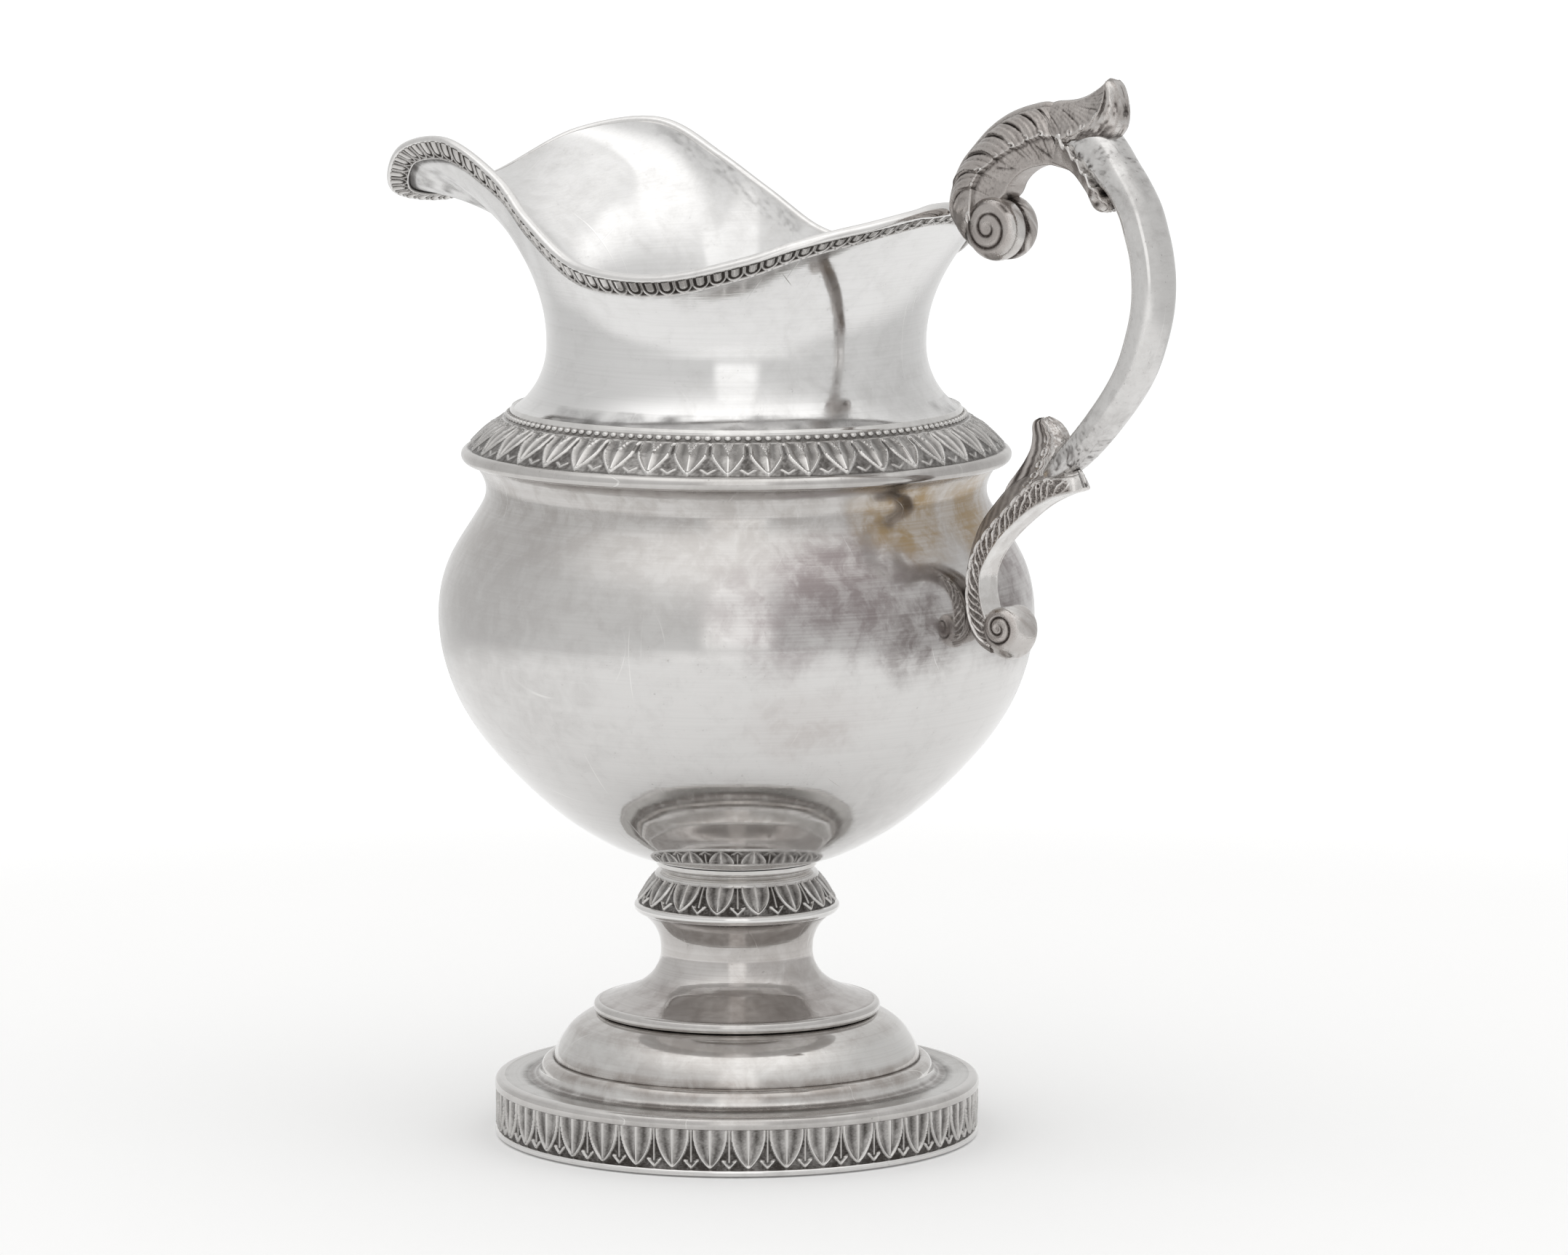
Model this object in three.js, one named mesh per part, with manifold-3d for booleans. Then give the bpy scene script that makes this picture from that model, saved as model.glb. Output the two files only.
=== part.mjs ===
// Silver pedestal cream jug with a wavy rim, a drooping pouring lip and a scrolled handle.
// Millimetres, +Z up. The spout points to -X and the handle to +X. The jug stands on z = 0,
// with the middle of its bounding box over the origin.
import * as THREE from 'three';
import { mergeVertices } from 'three/addons/utils/BufferGeometryUtils.js';
import Module from 'manifold-3d';

// ---------------------------------------------------------------- driving dimensions
const FACETS = 40;        // facets round every turned piece
const WALL = 0.9;         // thickness of the raised sheet
const FILM = 0.1;         // solder film between neighbouring pieces

const PLINTH_R = 42.6;    // outside radius of the plinth
const PLINTH_H = 10.3;    // height of the plinth's flat top
const BAND_LOW = 1.2;     // lower edge of the plinth's leaf band
const BAND_HIGH = 8.2;    // upper edge of the plinth's leaf band
const FLANGE_R = 25.2;    // rounded edge of the spool's flange
const KNOP_R = 18.05;     // widest edge of the knop
const BOWL_R = 52.2;      // widest radius of the bowl
const SHOULDER_R = 48.05; // widest radius of the shoulder moulding
const WAIST_R = 33.13;    // narrowest radius of the neck
const WAIST_Z = 139.8;    // height of the neck's narrowest place
const TONGUE_W = 3.0;     // width of the tongue strip under the rim
const GRIP_W = 8.6;       // width of the grip across the jug
const SCROLL_W = 8.0;     // width of the upper scroll across the jug
const LOWER_W = 6.4;      // width of the lower scroll across the jug

// Rim of the sheet, by angle from the spout (degrees): radius and height of the finished edge,
// the slope of the wall where it ends (degrees above level), and the two lengths that set how
// long the wall stays upright above the waist and how far the flare runs straight.
const RIM = [
  // angle, radius, height, slope, flare, rise
  [0, 69.9, 160.8, -55, 14.0, 18.0],
  [12, 68.5, 165.3, -40, 13.0, 18.0],
  [24, 60.3, 173.2, 5, 11.0, 17.0],
  [36, 49.85, 174.9, 55, 10.0, 14.0],
  [48, 42.9, 169.7, 72, 9.5, 11.0],
  [60, 40.1, 163.6, 72, 8.0, 9.0],
  [75, 37.9, 157.1, 66, 6.0, 6.3],
  [90, 39.2, 155.1, 62, 5.0, 5.5],
  [110, 42.0, 155.2, 60, 5.0, 5.5],
  [130, 42.9, 158.2, 58, 6.5, 6.5],
  [155, 44.5, 162.9, 56, 8.5, 8.5],
  [180, 46.0, 165.5, 55, 9.5, 9.5],
];

// Outside of the bowl from its bottom on the axis to its top edge: [radius, height].
const BOWL_OUTER = [
  [0, 47.75], [14.6, 48.55], [20.06, 50.6], [27.91, 55.01], [35.52, 61.08], [42.14, 67.95],
  [47.53, 75.43], [50.74, 82.9], [BOWL_R, 91.8], [51.17, 99.28], [48.42, 105.22], [44.93, 110.66],
  [43.74, 113.9], [44.2, 116.2], [45.2, 118.2],
];

// Outside of the neck sheet below the waist, from under the leaf band upwards.
const NECK_LOWER = [
  [46.2, 120.3], [39.3, 126.3], [38.35, 127.8], [36.57, 130.61], [34.73, 133.09], [33.5, 136.29],
  [WAIST_R, WAIST_Z],
];

// ---------------------------------------------------------------- materials
const silver = (color, roughness) => new THREE.MeshStandardMaterial({ color, roughness, metalness: 1 });
const RAISED = () => silver(0xcfcdca, 0.22);   // raised sheet, soft polish
const ROLLED = () => silver(0x9c9894, 0.38);   // die-rolled ornament with dark recesses
const WIRE = () => silver(0xd2d0cd, 0.2);      // drawn mouldings
const CAST = () => silver(0x8f8984, 0.4);      // carved castings

// ---------------------------------------------------------------- helpers
const jug = new THREE.Group();

function addMesh(name, geometry, material) {
  const mesh = new THREE.Mesh(geometry, material);
  mesh.name = name;
  jug.add(mesh);
}

// A turned piece from a profile of [radius, height] whose outside runs upwards.
function turned(name, profile, material) {
  const pts = profile.map(([r, z]) => new THREE.Vector2(r, z));
  if (profile[0][0] > 0) pts.push(new THREE.Vector2(profile[0][0], profile[0][1]));
  const g = new THREE.LatheGeometry(pts, FACETS);
  g.rotateX(Math.PI / 2);
  addMesh(name, g, material);
}

// Moves a profile inwards by the sheet thickness.
function inset(profile, t) {
  return profile.map((p, i) => {
    const a = profile[Math.max(i - 1, 0)];
    const b = profile[Math.min(i + 1, profile.length - 1)];
    const d = new THREE.Vector2(b[0] - a[0], b[1] - a[1]).normalize();
    return [Math.max(p[0] - d.y * t, 0), p[1] + d.x * t];
  });
}

// Closed profile of a sheet: the outside upwards, then the inside back down.
function sheet(outer, t) {
  return [...outer, ...inset(outer, t).reverse()];
}

function geometryFrom(vertices, triangles) {
  const g = new THREE.BufferGeometry();
  g.setAttribute('position', new THREE.Float32BufferAttribute(vertices.flat(), 3));
  g.setIndex(triangles.flat());
  return g;
}

function volumeOf(vertices, triangles) {
  let v = 0;
  for (const [a, b, c] of triangles) {
    const [p, q, r] = [vertices[a], vertices[b], vertices[c]];
    v += p[0] * (q[1] * r[2] - q[2] * r[1]) - p[1] * (q[0] * r[2] - q[2] * r[0])
      + p[2] * (q[0] * r[1] - q[1] * r[0]);
  }
  return v / 6;
}

// A closed skin through loops of equal length. Ring lofts join the last loop to the first;
// others are closed by a fan at each end.
function loft(loops, ring) {
  const n = loops[0].length;
  const vertices = loops.flat();
  let triangles = [];
  const rows = ring ? loops.length : loops.length - 1;
  for (let i = 0; i < rows; i++) {
    const k = (i + 1) % loops.length;
    for (let j = 0; j < n; j++) {
      const m = (j + 1) % n;
      const [a, b, c, d] = [i * n + j, i * n + m, k * n + m, k * n + j];
      triangles.push([a, b, c], [a, c, d]);
    }
  }
  if (!ring) {
    for (const [i, flip] of [[0, true], [loops.length - 1, false]]) {
      const loop = loops[i];
      const mid = [0, 1, 2].map((c) => loop.reduce((s, p) => s + p[c], 0) / n);
      const hub = vertices.push(mid) - 1;
      for (let j = 0; j < n; j++) {
        const m = (j + 1) % n;
        triangles.push(flip ? [hub, i * n + m, i * n + j] : [hub, i * n + j, i * n + m]);
      }
    }
  }
  if (volumeOf(vertices, triangles) < 0) triangles = triangles.map(([a, b, c]) => [a, c, b]);
  return geometryFrom(vertices, triangles);
}

// Smooth curve through a table's column, level at both ends.
function column(table, col, x) {
  const n = table.length;
  let i = 0;
  while (i < n - 2 && x > table[i + 1][0]) i++;
  const slope = (k) => (k === 0 || k === n - 1 ? 0
    : (table[k + 1][col] - table[k - 1][col]) / (table[k + 1][0] - table[k - 1][0]));
  const [x0, x1] = [table[i][0], table[i + 1][0]];
  const h = x1 - x0;
  const t = (x - x0) / h;
  const [a, b, ma, mb] = [table[i][col], table[i + 1][col], slope(i) * h, slope(i + 1) * h];
  return a + t * (ma + t * (3 * (b - a) - 2 * ma - mb + t * (2 * (a - b) + ma + mb)));
}

// ---------------------------------------------------------------- foot and stem
turned('plinth_base_wire', [
  [39.6, 0], [42.2, 0], [PLINTH_R, 0.4], [PLINTH_R, BAND_LOW - FILM], [39.6, BAND_LOW - FILM],
], WIRE());

turned('plinth_leaf_band', [
  [41.2, BAND_LOW], [42.35, BAND_LOW], [42.35, BAND_HIGH], [41.2, BAND_HIGH],
], ROLLED());

turned('plinth_top_wire', [
  [40.9, BAND_HIGH + FILM], [PLINTH_R, BAND_HIGH + FILM], [PLINTH_R, 9.4], [42.2, 10.0], [41.5, PLINTH_H],
  [40.9, PLINTH_H],
], WIRE());

turned('plinth_plate', [
  [31.0, PLINTH_H - 1.0], [40.8, PLINTH_H - 1.0], [40.8, PLINTH_H], [31.0, PLINTH_H],
], RAISED());

turned('foot_step_ring', [
  [32.2, PLINTH_H + FILM], [36.2, PLINTH_H + FILM], [34.6, 11.1], [34.35, 12.2], [33.4, 12.95], [32.2, 12.95],
], WIRE());

const DOME_OUTER = [[32.3, 13.05], [31.5, 15.8], [29.6, 18.6], [27.0, 20.7], [24.4, 21.6]];
turned('foot_dome', sheet(DOME_OUTER, WALL), RAISED());

turned('stem_flange_wire', [
  [23.4, 21.75], [24.8, 21.75], [FLANGE_R, 22.4], [25.05, 23.2], [24.5, 23.55], [23.4, 23.2],
], WIRE());

const SPOOL_OUTER = [[23.3, 24.1], [19.0, 25.4], [15.9, 27.2], [14.2, 29.4], [13.34, 32.5], [13.8, 35.4],
  [15.0, 37.6], [16.2, 38.5]];
turned('stem_spool', sheet(SPOOL_OUTER, WALL), RAISED());

turned('knop_edge_wire', [
  [15.5, 39.4], [17.3, 39.4], [KNOP_R, 40.0], [KNOP_R, 40.6], [17.5, 41.1], [15.5, 41.1],
], WIRE());

turned('knop_leaf_band', [
  [16.2, 41.2], [17.55, 41.2], [15.9, 43.9], [14.4, 45.6], [13.1, 45.6], [14.6, 43.9],
], ROLLED());

turned('stem_collar', [
  [12.0, 45.7], [14.3, 45.7], [13.3, 46.6], [13.4, 47.3], [14.2, 48.2], [12.0, 48.0],
], RAISED());

// ---------------------------------------------------------------- bowl and shoulder
turned('bowl', sheet(BOWL_OUTER, WALL), RAISED());

turned('shoulder_edge_wire', [
  [46.6, 119.0], [47.7, 119.4], [SHOULDER_R, 120.1], [47.85, 120.75], [47.4, 121.1], [46.75, 120.5],
], WIRE());

turned('shoulder_leaf_band', [
  [46.55, 120.75], [47.1, 121.25], [44.3, 124.2], [41.04, 126.46], [39.3, 128.2], [38.75, 128.0], [39.75, 126.6],
], ROLLED());

// ---------------------------------------------------------------- neck, rim and lip
// Point of the neck's outside above the waist: share u of the way up the wall at an angle from the spout.
function wallCurve(angle) {
  const [r, z, slope, flare, rise] = [1, 2, 3, 4, 5].map((c) => column(RIM, c, angle));
  const s = THREE.MathUtils.degToRad(slope);
  // the sheet ends under the listel, a little inside the finished edge
  const end = [r - 1.1 * Math.cos(s) - 0.5 * Math.sin(s), z - 1.1 * Math.sin(s) + 0.5 * Math.cos(s)];
  const v = (a, b) => new THREE.Vector3(a, b, 0);
  return new THREE.CubicBezierCurve3(
    v(WAIST_R, WAIST_Z), v(WAIST_R, WAIST_Z + rise),
    v(end[0] - flare * Math.cos(s), end[1] - flare * Math.sin(s)), v(end[0], end[1]));
}

const UPPER_STEPS = 6;    // rows between the waist and the tongue strip
const neckRows = [];      // per facet: outside points from the bottom edge to the rim
for (let i = 0; i < FACETS; i++) {
  const th = (2 * Math.PI * i) / FACETS;
  const angle = THREE.MathUtils.radToDeg(Math.min(th, 2 * Math.PI - th));
  const curve = wallCurve(angle);
  curve.arcLengthDivisions = 400;
  const length = curve.getLength();
  const stations = [];
  for (let k = 1; k <= UPPER_STEPS; k++) stations.push(((length - TONGUE_W) * k) / UPPER_STEPS);
  stations.push(length - TONGUE_W / 2, length);
  const rz = [...NECK_LOWER, ...stations.map((s) => {
    const p = curve.getPointAt(Math.min(s / length, 1));
    return [p.x, p.y];
  })];
  neckRows.push(rz.map(([r, z]) => new THREE.Vector3(-r * Math.cos(th), -r * Math.sin(th), z)));
}
const rowCount = neckRows[0].length;

// Outward normals of the neck's outside.
const neckNormals = neckRows.map((row, i) => row.map((p, j) => {
  const around = neckRows[(i + 1) % FACETS][j].clone().sub(neckRows[(i + FACETS - 1) % FACETS][j]);
  const up = row[Math.min(j + 1, rowCount - 1)].clone().sub(row[Math.max(j - 1, 0)]);
  return around.cross(up).normalize();
}));
const out = (i, j, d) => neckRows[i][j].clone().addScaledVector(neckNormals[i][j], d).toArray();

// The sheet of the neck, as a ring of closed sections.
addMesh('neck', loft(neckRows.map((row, i) => [
  ...row.map((p, j) => out(i, j, 0)),
  ...row.map((p, j) => out(i, rowCount - 1 - j, -WALL)),
]), true), RAISED());

// The tongue strip on the outside of the rim.
const stripRows = [rowCount - 3, rowCount - 2, rowCount - 1];
addMesh('rim_tongue_band', loft(neckRows.map((row, i) => [
  ...stripRows.map((j) => out(i, j, FILM)),
  ...stripRows.slice().reverse().map((j) => out(i, j, 0.75)),
]), true), ROLLED());

// The listel on the edge, a rounded bar that covers the sheet and the top of the strip.
const LISTEL = [[-0.75, 0.32], [0.9, 0.32], [1.25, 0.65], [0.9, 1.15], [0.1, 1.35], [-0.65, 1.05]];
addMesh('rim_listel', loft(neckRows.map((row, i) => {
  const edge = row[rowCount - 1];
  const normal = neckNormals[i][rowCount - 1];
  const along = neckRows[(i + 1) % FACETS][rowCount - 1].clone()
    .sub(neckRows[(i + FACETS - 1) % FACETS][rowCount - 1]).normalize();
  const up = normal.clone().cross(along).normalize();
  return LISTEL.map(([n, u]) => edge.clone().addScaledVector(normal, n).addScaledVector(up, u).toArray());
}), true), WIRE());

// ---------------------------------------------------------------- handle
// The handle lies in the plane y = 0. Its parts are lofts of eight-sided sections.

// Section of a scroll between a back point and an inner point, [x, z] each, with half widths at
// the back, the middle and the inner side.
function scrollSection([bx, bz], [ix, iz], wBack, wMid, wIn) {
  const at = (q, y) => [bx + (ix - bx) * q, y, bz + (iz - bz) * q];
  return [at(0, wBack), at(0.25, 0.5 * (wBack + wMid) + 0.25 * (wMid - wBack)), at(0.6, wMid), at(1, wIn),
    at(1, -wIn), at(0.6, -wMid), at(0.25, -(0.5 * (wBack + wMid) + 0.25 * (wMid - wBack))), at(0, -wBack)];
}

// Grip: centre line points [x, z] with the thickness and width of the section there.
const GRIP = [
  [75.9, 176.3, 5.3, 8.6], [79.0, 174.4, 5.3, 8.7], [82.0, 172.0, 5.3, 8.7], [85.7, 167.6, 5.2, 8.7], [88.1, 162.2, 5.2, 8.6],
  [88.8, 156.0, 5.1, GRIP_W], [88.45, 151.3, 5.0, 8.5], [87.5, 146.8, 4.8, 8.4], [85.9, 142.1, 4.6, 8.2],
  [83.2, 137.2, 4.5, 8.0], [79.4, 132.2, 4.4, 7.7], [74.6, 126.9, 4.3, 7.4], [70.46, 123.28, 4.3, 7.2],
];
function gripLoops() {
  return GRIP.map(([x, z, t, w], i) => {
    const a = GRIP[Math.max(i - 1, 0)];
    const b = GRIP[Math.min(i + 1, GRIP.length - 1)];
    const d = new THREE.Vector2(b[0] - a[0], b[1] - a[1]).normalize();
    const n = [-d.y, d.x]; // towards the outside of the bend on a run from top to bottom
    const p = (r, y) => [x + n[0] * r, y, z + n[1] * r];
    const [h, k, c] = [t / 2, w / 2, 0.7];
    return [p(h, k - c), p(h - c, k), p(-h + c, k), p(-h, k - c), p(-h, -k + c), p(-h + c, -k), p(h - c, -k), p(h, -k + c)];
  });
}
addMesh('handle_grip', loft(gripLoops(), false), RAISED());

const wasm = await Module();
wasm.setup();
function solid(geometry) {
  const g = geometry.clone();
  g.deleteAttribute('normal');
  g.deleteAttribute('uv');
  const m = mergeVertices(g, 1e-5);
  return new wasm.Manifold(new wasm.Mesh({
    numProp: 3,
    vertProperties: new Float32Array(m.attributes.position.array),
    triVerts: new Uint32Array(m.index.array),
  }));
}
function joined(geometries) {
  const mesh = geometries.map(solid).reduce((a, b) => a.add(b)).getMesh();
  const g = new THREE.BufferGeometry();
  g.setAttribute('position', new THREE.Float32BufferAttribute(Array.from(mesh.vertProperties), 3));
  g.setIndex(Array.from(mesh.triVerts));
  return g;
}
const run = (rows) => loft(rows.map(([b, i, wb, wm, wi]) => scrollSection(b, i, wb, wm, wi)), false);
const roll = (x, z, r, w) => new THREE.CylinderGeometry(r, r, w, 20).translate(x, 0, z);

// Upper scroll: the carved arch, its thumb piece, the small hanging leaf and the rolled end at the rim.
const S = SCROLL_W / 2;
const upperArch = run([
  [[51.6, 158.9], [55.2, 160.6], 1.2, S - 0.4, 2.6],
  [[48.5, 162.0], [55.0, 163.4], 1.2, S - 0.2, 2.6],
  [[46.5, 165.5], [56.2, 166.0], 1.2, S, 2.4],
  [[47.7, 170.0], [58.2, 168.4], 1.2, S, 2.2],
  [[50.2, 175.2], [60.4, 171.0], 1.2, S, 2.2],
  [[55.6, 180.0], [63.4, 173.2], 1.2, S, 2.2],
  [[62.7, 183.4], [67.4, 174.2], 1.2, S, 2.2],
  [[68.5, 184.6], [70.4, 174.5], 1.2, S, 2.2],
  [[71.6, 185.1], [72.2, 174.9], 1.2, S, 2.2],
]);
const thumbPiece = run([
  [[68.5, 184.5], [69.2, 179.0], 1.1, S - 0.1, S - 0.6],
  [[72.0, 185.2], [72.6, 179.2], 1.2, S - 0.2, S - 0.6],
  [[75.2, 186.2], [75.6, 180.3], 1.4, S - 0.4, S - 0.8],
  [[77.6, 187.5], [78.4, 180.8], 1.8, S - 0.8, S - 0.8],
  [[79.3, 188.9], [80.4, 181.6], 1.8, S - 1.2, S - 1.0],
  [[80.4, 188.3], [81.0, 183.6], 1.2, S - 1.8, S - 1.8],
]);
const hangingLeaf = run([
  [[70.5, 177.6], [70.8, 174.6], S - 1.2, S - 1.0, 2.0],
  [[73.0, 174.8], [73.2, 173.7], S - 1.4, S - 1.2, 1.8],
  [[75.7, 173.1], [75.3, 172.1], S - 1.6, S - 1.4, 1.8],
  [[78.4, 171.2], [77.6, 169.9], S - 1.9, S - 1.7, 1.7],
  [[80.3, 168.7], [79.0, 167.9], S - 2.2, S - 2.0, 1.6],
]);
addMesh('handle_upper_scroll', joined([upperArch, thumbPiece, hangingLeaf, roll(56.6, 163.1, 5.4, SCROLL_W + 0.2)]), CAST());

// Lower scroll: the carved arch, its upward tip, the tail under the grip and the rolled end on the bowl.
const L = LOWER_W / 2;
const lowerArch = run([
  [[64.6, 122.9], [69.6, 117.8], L - 0.4, L, L],
  [[61.3, 119.9], [66.6, 115.6], L - 0.4, L, L],
  [[57.7, 116.3], [62.2, 113.1], L - 0.4, L, L],
  [[54.4, 112.0], [58.7, 110.2], L - 0.4, L, L],
  [[52.4, 107.6], [56.4, 106.8], L - 0.4, L, L],
  [[51.8, 103.1], [55.2, 103.2], L - 0.5, L, L],
  [[51.45, 98.9], [55.4, 99.6], L - 0.6, L, L],
  [[52.25, 95.0], [56.6, 96.6], L - 0.6, L, L],
  [[53.9, 92.2], [58.0, 94.6], L - 0.6, L, L],
]);
const upwardTip = run([
  [[61.6, 120.2], [64.8, 118.4], L - 0.5, L - 0.2, L - 0.2],
  [[63.9, 123.2], [67.2, 121.4], L - 0.5, L - 0.2, L - 0.2],
  [[65.6, 127.2], [68.3, 126.2], L - 0.6, L - 0.4, L - 0.4],
  [[65.7, 129.8], [68.0, 129.0], L - 1.2, L - 0.9, L - 0.9],
  [[66.1, 131.0], [67.2, 130.6], L - 2.0, L - 1.8, L - 1.8],
]);
const tail = run([
  [[64.5, 121.0], [66.6, 115.8], L - 0.3, L - 0.2, L - 0.2],
  [[68.0, 121.0], [69.2, 116.9], L - 0.3, L - 0.1, L - 0.2],
  [[70.6, 121.2], [71.8, 118.0], L - 0.4, L - 0.2, L - 0.3],
  [[73.0, 121.6], [74.2, 119.0], L - 0.7, L - 0.5, L - 0.7],
]);
addMesh('handle_lower_scroll', joined([lowerArch, upwardTip, tail, roll(58.6, 93.7, 4.45, LOWER_W + 0.2)]), CAST());

// ---------------------------------------------------------------- place the jug over the origin
const box = new THREE.Box3().setFromObject(jug);
jug.position.set(-(box.min.x + box.max.x) / 2, 0, 0);
jug.updateMatrixWorld(true);

export default jug;
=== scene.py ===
import math

import bpy
import numpy as np
from mathutils import Matrix, Vector


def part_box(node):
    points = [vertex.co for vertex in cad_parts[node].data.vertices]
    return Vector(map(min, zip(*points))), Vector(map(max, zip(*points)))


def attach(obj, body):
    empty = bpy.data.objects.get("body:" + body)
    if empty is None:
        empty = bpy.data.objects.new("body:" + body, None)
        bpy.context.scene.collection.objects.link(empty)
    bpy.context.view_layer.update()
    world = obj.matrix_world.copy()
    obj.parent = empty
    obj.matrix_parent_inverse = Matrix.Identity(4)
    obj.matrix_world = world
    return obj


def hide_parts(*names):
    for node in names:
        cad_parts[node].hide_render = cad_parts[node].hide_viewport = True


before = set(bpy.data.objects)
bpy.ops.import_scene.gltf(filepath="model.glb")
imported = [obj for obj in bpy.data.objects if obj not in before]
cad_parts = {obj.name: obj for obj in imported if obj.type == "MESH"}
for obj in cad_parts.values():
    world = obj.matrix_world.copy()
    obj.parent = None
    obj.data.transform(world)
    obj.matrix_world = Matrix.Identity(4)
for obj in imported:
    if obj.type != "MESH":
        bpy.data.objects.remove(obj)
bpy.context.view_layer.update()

# Silver pedestal cream jug. All shapes below are in millimetres, with the jug's turning axis at
# x = 0, the spout towards -X and the handle towards +X. They are moved onto the CAD model's axis
# and into metres when a mesh is made.
_lo, _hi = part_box("plinth_base_wire")
AXIS_X = (_lo.x + _hi.x) / 2
RNG = np.random.default_rng(11)
scene = bpy.context.scene


# ---------------------------------------------------------------- curves
def hermite(xs, ys, x, level=False):
    """Smooth curve through points; level ends for closed-by-symmetry tables."""
    xs, ys, x = np.asarray(xs, float), np.asarray(ys, float), np.asarray(x, float)
    flat = ys.ndim == 1
    if flat:
        ys = ys[:, None]
    m = np.zeros_like(ys)
    m[1:-1] = (ys[2:] - ys[:-2]) / (xs[2:] - xs[:-2])[:, None]
    if not level:
        m[0] = (ys[1] - ys[0]) / (xs[1] - xs[0])
        m[-1] = (ys[-1] - ys[-2]) / (xs[-1] - xs[-2])
    i = np.clip(np.searchsorted(xs, x, side="right") - 1, 0, len(xs) - 2)
    h = (xs[i + 1] - xs[i])[:, None]
    t = ((x - xs[i]) / (xs[i + 1] - xs[i]))[:, None]
    a, b, ma, mb = ys[i], ys[i + 1], m[i] * h, m[i + 1] * h
    out = a + t * (ma + t * (3 * (b - a) - 2 * ma - mb + t * (2 * (a - b) + ma + mb)))
    return out[:, 0] if flat else out


def lengths(p):
    return np.r_[0, np.cumsum(np.linalg.norm(np.diff(p, axis=0), axis=1))]


def resample(points, step=None, count=None):
    """Evenly spaced points on the smooth curve through some points."""
    p = np.asarray(points, float)
    d = lengths(p)
    dense = hermite(d, p, np.linspace(0, d[-1], max(40 * len(p), 400)))
    run = lengths(dense)
    n = count or max(int(round(run[-1] / step)) + 1, 3)
    s = np.linspace(0, run[-1], n)
    return np.stack([np.interp(s, run, dense[:, k]) for k in range(p.shape[1])], -1)


def offset(curve, d):
    """Moves a profile of [radius, height] outwards; its outside is on the right of its run."""
    t = np.gradient(curve, axis=0)
    t /= np.linalg.norm(t, axis=1)[:, None]
    return curve + np.stack([t[:, 1], -t[:, 0]], -1) * d


def smoothstep(a, b, x):
    t = np.clip((x - a) / (b - a), 0, 1)
    return t * t * (3 - 2 * t)


def seg_dist(x, y, line):
    """Distance from points to a polyline."""
    best = np.full(np.shape(x), 1e9)
    for (ax, ay), (bx, by) in zip(line[:-1], line[1:]):
        dx, dy = bx - ax, by - ay
        t = np.clip(((x - ax) * dx + (y - ay) * dy) / (dx * dx + dy * dy + 1e-12), 0, 1)
        best = np.minimum(best, np.hypot(x - ax - t * dx, y - ay - t * dy))
    return best


def ridge(d, half):
    return np.exp(-((d / half) ** 2))


def value_noise(x, y, seed):
    """Smooth random field in the range -1 to 1 with a cell of one unit."""
    rng = np.random.default_rng(seed)
    table = rng.uniform(-1, 1, (64, 64))
    xi, yi = np.floor(x).astype(int), np.floor(y).astype(int)
    fx, fy = x - xi, y - yi
    fx, fy = fx * fx * (3 - 2 * fx), fy * fy * (3 - 2 * fy)
    g = lambda a, b: table[a % 64, b % 64]
    return (g(xi, yi) * (1 - fx) + g(xi + 1, yi) * fx) * (1 - fy) + (
        g(xi, yi + 1) * (1 - fx) + g(xi + 1, yi + 1) * fx) * fy


# ---------------------------------------------------------------- meshes
def grid_quads(nu, nv, wrap_u, wrap_v):
    i = np.arange(nu if wrap_u else nu - 1)
    j = np.arange(nv if wrap_v else nv - 1)
    a, b = np.meshgrid(i, j, indexing="ij")
    c, d = (a + 1) % nu, (b + 1) % nv
    return np.stack([a * nv + b, c * nv + b, c * nv + d, a * nv + d], -1).reshape(-1, 4)


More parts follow.
